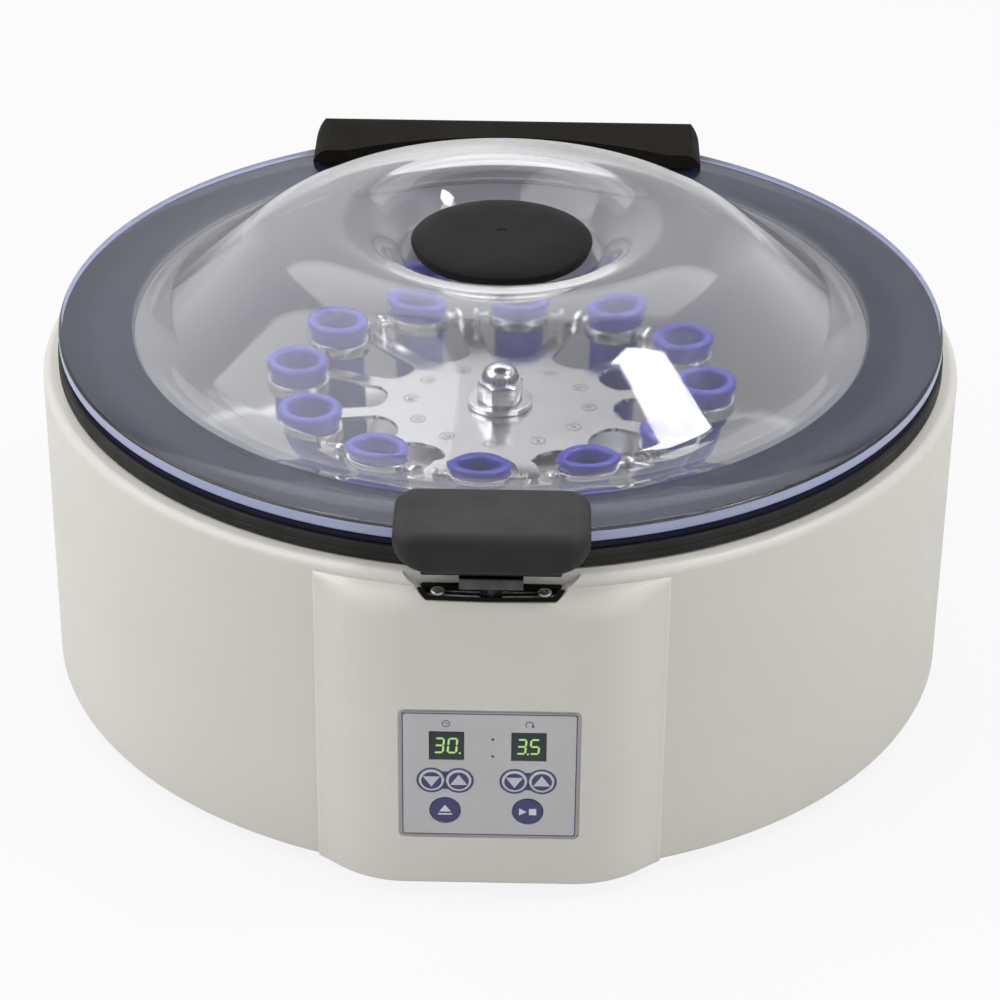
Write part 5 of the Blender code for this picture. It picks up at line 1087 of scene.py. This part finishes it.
def make_panel():
    front = PANEL_LOW.y
    skin = rounded_rectangle(-PANEL_HALF, PANEL_HALF, PANEL_LOW.z, PANEL_HIGH.z, 1.6 * MM)
    sheet = softened(prism(skin, front, front + 0.9 * MM, "Y"), 0.2 * MM, angle=60)
    low, high = front - BITE, front + OVERRUN
    holes = []
    for x in PAIR_X:
        holes += [disc(x + side * KEY_SPREAD, PAIR_Z, KEY_RADIUS + GAP, low, high) for side in (-1, 1)]
        holes.append(disc(x, ROUND_Z, ROUND_KEY_RADIUS + GAP, low, high))
    holes += [box((x - DISPLAY_HALF, low, DISPLAY_Z - DISPLAY_HALF_HEIGHT),
                  (x + DISPLAY_HALF, high, DISPLAY_Z + DISPLAY_HALF_HEIGHT)) for x in DISPLAY_X]
    sheet = carved(sheet, *holes)
    back = box((-PANEL_BACK_HALF, front + BITE, PANEL_LOW.z + PANEL_BACK_MARGIN),
               (PANEL_BACK_HALF, front + 5.9 * MM, PANEL_HIGH.z - PANEL_BACK_MARGIN))
    piece("keypad_film", merged(sheet, back), PANEL, "base", "keypad_panel")
    make_prints(front)
    make_displays(front)
    make_keys()


def border(inset, corner):
    half = PANEL_HALF - inset
    return rounded_rectangle(-half, half, PANEL_LOW.z + inset, PANEL_HIGH.z - inset, corner)


def make_prints(front):
    """Printed border line, lozenges round the key pairs and small plain symbols."""
    inner = prism(border(0.55 * MM, 0.8 * MM), front - PRINT - BITE, front + PRINT + BITE, "Y")
    shapes = [carved(printed(border(0.15 * MM, 1 * MM), front), inner)]
    radius = KEY_RADIUS + 0.85 * MM
    waist = 3.9 * MM
    turn = math.degrees(math.asin(waist / radius))
    for x in PAIR_X:
        outline = arc(x - KEY_SPREAD, PAIR_Z, radius, turn, 360 - turn, 40)
        outline += arc(x + KEY_SPREAD, PAIR_Z, radius, turn - 180, 180 - turn, 40)
        holes = [disc(x + side * KEY_SPREAD, PAIR_Z, KEY_RADIUS + GAP, front - BITE, front + BITE)
                 for side in (-1, 1)]
        shapes.append(carved(printed(outline, front), *holes))
    shapes += symbol_clock(-16 * MM, front) + symbol_turn(14.6 * MM, front)
    for height in mm(64.4, 71.9):
        dot = rod(0.55 * MM, front - PRINT, front + PRINT, TINY_SIDES, "Y")
        shapes.append(moved(dot, x=1.2 * MM, z=height))
    piece("keypad_print", merged(*shapes), NAVY, "base")


def symbol_clock(x, front):
    """A small clock face for the time display."""
    z, thin = SYMBOL_Z, 0.12 * MM
    ring = moved(hoop(1.2 * MM, 1.5 * MM, -PRINT, PRINT, "Y"), x=x, y=front, z=z)
    hand = box((x - thin, front - PRINT, z), (x + thin, front + PRINT, z + 0.9 * MM))
    arm = box((x, front - PRINT, z - thin), (x + 0.7 * MM, front + PRINT, z + thin))
    return [ring, hand, arm]


def symbol_turn(x, front):
    """A part circle with an arrow head for the speed display."""
    swirl = arc(0, 0, 1.5 * MM, -30, 230, 20) + arc(0, 0, 1.15 * MM, 230, -30, 20)
    tip = [mm(1.9, -0.5), mm(0.7, -0.5), mm(1.25, -1.5)]
    return [moved(printed(outline), x=x, y=front, z=SYMBOL_Z) for outline in (swirl, tip)]


SEGMENTS = {"0": "abcdef", "3": "abcdg", "5": "acdfg"}


def segment_outline(length, thick):
    half = length / 2
    return [(-half, 0), (thick / 2 - half, -thick / 2), (half - thick / 2, -thick / 2), (half, 0),
            (half - thick / 2, thick / 2), (thick / 2 - half, thick / 2)]


def digit(character, front):
    """A seven-segment figure about the origin, leaning a little."""
    long, thick, gap = 3.1 * MM, 0.75 * MM, 0.12 * MM
    places = {"a": (0, long, 0), "g": (0, 0, 0), "d": (0, -long, 0), "f": (-long / 2, long / 2, 90),
              "b": (long / 2, long / 2, 90), "e": (-long / 2, -long / 2, 90), "c": (long / 2, -long / 2, 90)}
    shapes = []
    for letter in SEGMENTS[character]:
        x, z, turn = places[letter]
        outline = segment_outline(long - 2 * gap, thick)
        if turn:
            outline = [(v, u) for u, v in outline]
        outline = [(u + x + (v + z) * 0.08, v + z) for u, v in outline]
        shapes.append(printed(outline, front))
    return shapes


def make_displays(front):
    face = front + 0.2 * MM
    half, half_height = DISPLAY_HALF - 0.1 * MM, DISPLAY_HALF_HEIGHT - 0.1 * MM
    low, high = DISPLAY_Z - half_height, DISPLAY_Z + half_height
    lenses = [box((x - half, face, low), (x + half, face + BITE, high)) for x in DISPLAY_X]
    lenses = [softened(lens, 0.2 * MM) for lens in lenses]
    piece("display_lenses", merged(*lenses), DISPLAY, "base", "display_window")
    lit = []
    for x, figures, point in zip(DISPLAY_X, ("30", "35"), mm(4.9, -0.35)):
        for place, character in zip(mm(-2.7, 2.2), figures):
            lit += [moved(shape, x=x + place, z=DISPLAY_Z) for shape in digit(character, face)]
        dot = rod(0.4 * MM, face - PRINT, face + PRINT, 16, "Y")
        lit.append(moved(dot, x=x + point, z=DISPLAY_Z - 3.3 * MM))
    piece("display_digits", merged(*lit), LIT, "base")


def triangle(size, up):
    tip = size if up else -size
    return [(-size * 1.05, -tip * 0.6), (size * 1.05, -tip * 0.6), (0, tip * 0.9)]


def make_key(name, x, z, radius, edge, finish, icon, ink):
    low, high = span(name)
    body = f"{name}_body"
    piece(f"{name}_cap", disc(x, z, radius, low.y, high.y, edge), finish, body, name)
    piece(f"{name}_mark", moved(icon, x=x, y=low.y, z=z), ink, body)


def make_keys():
    names = ("time_down_key", "time_up_key", "speed_down_key", "speed_up_key")
    for name, x in zip(names, [x + side * KEY_SPREAD for x in PAIR_X for side in (-1, 1)]):
        arrow = prism(triangle(3.1 * MM, "up" in name), -BITE, BITE, "Y")
        icon = carved(disc(0, 0, 3.75 * MM, -PRINT, PRINT), arrow)
        make_key(name, x, PAIR_Z, KEY_RADIUS, 0.4 * MM, KEY_GREY, icon, NAVY)
    for name, x, icon in zip(("open_key", "start_stop_key"), PAIR_X, (open_icon(), start_stop_icon())):
        make_key(name, x, ROUND_Z, ROUND_KEY_RADIUS, 0.5 * MM, NAVY, icon, WHITE_INK)


def open_icon():
    """A lid lifted off a line."""
    base = [mm(-2.6, -1.8), mm(2.6, -1.8), mm(2.6, -1.2), mm(-2.6, -1.2)]
    return merged(printed(base), printed([mm(-2.2, -0.4), mm(2.2, -0.4), mm(0, 2.6)]))


def start_stop_icon():
    """A play triangle beside a stop square."""
    stop = [mm(0.5, -1.4), mm(3.2, -1.4), mm(3.2, 1.4), mm(0.5, 1.4)]
    return merged(printed([mm(-3.2, -1.6), mm(-0.4, 0), mm(-3.2, 1.6)]), printed(stop))


# Rear fittings and feet
INLET_FLANGE = 2.5 * MM
SOCKET_OFFSET = -10 * MM
SOCKET_DEPTH = 17 * MM
ROCKER_OFFSET = 14.5 * MM
ROCKER_HALF_WIDTH = 6.2 * MM
ROCKER_HALF_HEIGHT = 10.2 * MM
ROCKER_TILT = 8
ROCKER_AXIS_DEPTH = 3 * MM


def socket_outline(x, z):
    """The mains socket's form: a rectangle with its two upper corners cut off."""
    half, half_height, chamfer = mm(12, 8.3, 4)
    points = [(-half, -half_height), (half, -half_height), (half, half_height - chamfer),
              (half - chamfer, half_height), (chamfer - half, half_height), (-half, half_height - chamfer)]
    return rounded_profile([(x + u, z + v) for u, v in points], 1 * MM)


def make_inlet():
    low, high = INLET_LOW, INLET_HIGH
    face = high.y
    x, z = (low.x + high.x) / 2, (low.z + high.z) / 2
    inset, blade_half, blade_half_height = mm(2, 1, 2)
    flange = prism(rounded_rectangle(low.x, high.x, low.z, high.z, 3 * MM), face - INLET_FLANGE, face, "Y")
    body = box((low.x + inset, low.y, low.z + inset), (high.x - inset, face - BITE, high.z - inset))
    socket_x, rocker_x = x + SOCKET_OFFSET, x + ROCKER_OFFSET
    socket = prism(socket_outline(socket_x, z), face - SOCKET_DEPTH, face + OVERRUN, "Y")
    pocket = box((rocker_x - ROCKER_HALF_WIDTH, face - 10 * MM, z - ROCKER_HALF_HEIGHT),
                 (rocker_x + ROCKER_HALF_WIDTH, face + OVERRUN, z + ROCKER_HALF_HEIGHT))
    shape = softened(carved(joined(flange, body), socket, pocket), 0.3 * MM)
    piece("power_inlet_body", shape, BLACK_MATT, "base", "power_inlet")
    blades = []
    for u, v in (mm(-7, -1.5), mm(0, 2.5), mm(7, -1.5)):
        blade = box((socket_x + u - blade_half, face - 18 * MM, z + v - blade_half_height),
                    (socket_x + u + blade_half, face - 6 * MM, z + v + blade_half_height))
        blades.append(softened(blade, 0.35 * MM))
    piece("power_inlet_blades", merged(*blades), BRASS, "base")
    make_rocker(rocker_x, face - ROCKER_AXIS_DEPTH, z)


def make_rocker(*place):
    """The rocker with its pin, tilted as at rest, and its two marks."""
    half, end, middle_depth, back, half_width, pin, pin_reach = mm(9.5, 1.3, 0.8, 2.5, 5.5, 1.2, 7)
    side = [(-back, back - half), (-back, half - back), (end, half), (middle_depth, 0), (end, -half)]
    cap = softened(prism(side, -half_width, half_width, "X"), 0.35 * MM)
    cap = merged(cap, rod(pin, -pin_reach, pin_reach, TINY_SIDES, "X"))
    bar = box((-0.4 * MM, middle_depth, 3 * MM), (0.4 * MM, end + 0.02 * MM, 6.5 * MM))
    circle = moved(hoop(1.1 * MM, 1.5 * MM, -0.3 * MM, 0, "Y"), y=end - 0.12 * MM, z=-5 * MM)
    shape = moved(spun(cap, ROCKER_TILT, "X"), *place)
    piece("power_switch_rocker_cap", shape, BLACK_MATT, "switch", "power_switch")
    marks = moved(spun(merged(bar, circle), ROCKER_TILT, "X"), *place)
    piece("power_switch_marks", marks, WHITE_INK, "switch")


def make_feet():
    """Feet that taper to the floor round studs that go up into the housing."""
    rim_in, tip_in, edge, rim_low, top, stud, point = mm(2.6, 4.4, 1.2, 3.6, 7.2, 1.8, 0.5)
    for name in ("front_left_foot", "front_right_foot", "rear_left_foot", "rear_right_foot"):
        low, high = span(name)
        centre = (low + high) / 2
        rim = (high.x - low.x) / 2 - rim_in
        profile = [(0, 0), *arc(rim - tip_in, edge, edge, -90, -45, 3), (rim, rim_low), (rim, top),
                   (stud, top), (stud, high.z - point), (stud - point, high.z), (0, high.z)]
        piece(f"{name}_rubber", turned(profile, SMALL_SIDES), RUBBER, "base", name,
              AXIS + Vector((centre.x, centre.y, 0)))


SHOWN_NODES = {
    "base_plate": PLATED,
    "motor": MOTOR_PAINT,
    "motor_damper": RUBBER,
    "control_board": BOARD,
    "latch_solenoid": PLATED,
}


def finish_frame_nodes():
    for name, finish in SHOWN_NODES.items():
        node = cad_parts[name]
        node.data.materials.clear()
        node.data.materials.append(finish)


# Studio
WORLD_LIGHT = 0.36
FLOOR_HALF = 6.0
FLOOR_WHITE = 0.88
FLOOR_GLOSS = 0.4
LAMP_AIM = Vector((0, 0, 0.1))
LAMPS = {
    "left_softbox": ((-1.7, -0.6, 0.9), 1.4, 1.3, 9),
    "right_softbox": ((1.4, -1.2, 0.8), 1.1, 1.1, 7.5),
    "left_top_softbox": ((-1.05, -0.05, 1.5), 1.6, 1.7, 18),
    "right_top_softbox": ((0.95, -0.1, 1.5), 0.3, 0.42, 10),
    "rear_top_softbox": ((0, 1.2, 1.6), 2.2, 0.9, 9),
}


def make_lamps():
    """Rectangular lamps: place, width, height in metres, and watts."""
    for name, (place, width, height, power) in LAMPS.items():
        data = bpy.data.lights.new(name, "AREA")
        data.shape = "RECTANGLE"
        data.size = width
        data.size_y = height
        data.energy = power
        item = scratch_object(name, data)
        item.location = place
        item.rotation_euler = (LAMP_AIM - Vector(place)).to_track_quat("-Z", "Y").to_euler()


def make_world():
    """White for the camera; in reflections a bright band at the back with a dimmer doorway in it."""
    world = bpy.data.worlds.new("studio")
    bpy.context.scene.world = world
    world.use_nodes = True
    tree = world.node_tree
    place = add_node(tree, "TexCoord", "Generated")
    x, y, z = [add_node(tree, "SeparateXYZ", axis, {"Vector": place}) for axis in "XYZ"]
    left, right = add_range(tree, x, 0, 1, -0.03, 0.03), add_range(tree, x, 0, 1, 0.3, 0.45)
    doorway = add_math(tree, "SUBTRACT", left, right)
    across = add_range(tree, add_math(tree, "MULTIPLY", x, x), 0, 1, 0.05, 0.2)
    rise = add_math(tree, "MAXIMUM", add_range(tree, z, 0.4, 1, 0, 0.35), across)
    backdrop = add_math(tree, "MULTIPLY", add_range(tree, y, 0, 1, 0, 0.8), rise)
    kept = add_math(tree, "SUBTRACT", 1.0, add_math(tree, "MULTIPLY", doorway, 0.6))
    seen = add_seen(tree, add_math(tree, "MULTIPLY", backdrop, kept))
    set_inputs(tree, tree.nodes["Background"], {"Color": (1, 1, 1, 1),
                                                "Strength": add_range(tree, seen, WORLD_LIGHT, 1, 0, 1)})


def add_seen(tree, gloss_share):
    """1 for what the camera sees straight or through glass, a share in gloss, 0 for light on the object."""
    straight, glass, gloss, diffuse = [add_node(tree, "LightPath", output) for output in (
        "Is Camera Ray", "Is Transmission Ray", "Glossy Depth", "Diffuse Depth")]
    in_gloss = add_math(tree, "GREATER_THAN", gloss, 0.5)
    lost = add_math(tree, "MULTIPLY", in_gloss, add_math(tree, "SUBTRACT", 1.0, gloss_share))
    seen = add_math(tree, "MAXIMUM", add_math(tree, "MAXIMUM", straight, glass), in_gloss)
    seen = add_math(tree, "MULTIPLY", seen, add_math(tree, "SUBTRACT", 1.0, lost))
    return add_math(tree, "MULTIPLY", seen, add_math(tree, "LESS_THAN", diffuse, 0.5))


def make_floor():
    finish, tree, shader = new_material("paper_floor", Specular_IOR_Level=0.1)
    tone = add_noise(tree, 3.0, 3.0)
    set_inputs(tree, shader, {"Base Color": add_tone(tree, tone, *greys(0.62, 0.60)),
                              "Roughness": add_range(tree, tone, 0.75, 0.9)})
    seen = add_range(tree, add_seen(tree, FLOOR_GLOSS), 0, FLOOR_WHITE, 0, 1)
    blend_surface(tree, seen, shader.outputs["BSDF"], add_node(tree, "Emission", "Emission"))
    floor = box((-FLOOR_HALF, -FLOOR_HALF, -5 * MM), (FLOOR_HALF, FLOOR_HALF, 0))
    floor = scratch_object("floor", floor)
    floor.data.materials.append(finish)


# Camera
CAMERA_TURN = 0.0135
CAMERA_TILT = 0.5083
CAMERA_DISTANCE = 1348.5 * MM
CAMERA_TARGET = Vector((0, 0, 90 * MM))
CAMERA_YAW = 0.0003
CAMERA_PITCH = 0.0173
CAMERA_ROLL = -0.0103
CAMERA_LENS = 117.04


def make_camera():
    level = math.cos(CAMERA_TILT)
    away = Vector((math.sin(CAMERA_TURN) * level, -math.cos(CAMERA_TURN) * level, math.sin(CAMERA_TILT)))
    right = Vector((0, 0, 1)).cross(away).normalized()
    up = away.cross(right)
    rows = Matrix((right, up, away))
    fine = (Matrix.Rotation(CAMERA_ROLL, 3, "Z") @ Matrix.Rotation(CAMERA_PITCH, 3, "X")
            @ Matrix.Rotation(CAMERA_YAW, 3, "Y"))
    data = bpy.data.cameras.new("camera")
    data.sensor_width = 36
    data.lens = CAMERA_LENS
    camera = scratch_object("camera", data)
    place = (fine @ rows).transposed().to_4x4()
    place.translation = AXIS + CAMERA_TARGET + away * CAMERA_DISTANCE
    camera.matrix_world = place
    bpy.context.scene.camera = camera


def main():
    make_housing()
    make_bowl()
    make_boot()
    make_rotor()
    make_cups()
    make_dome()
    make_seals()
    make_cap()
    make_handle()
    make_carrier()
    make_hinge_base()
    make_latch()
    make_panel()
    make_inlet()
    make_feet()
    finish_frame_nodes()
    make_world()
    make_floor()
    make_lamps()
    make_camera()
    bpy.context.scene.view_settings.view_transform = "Standard"


main()
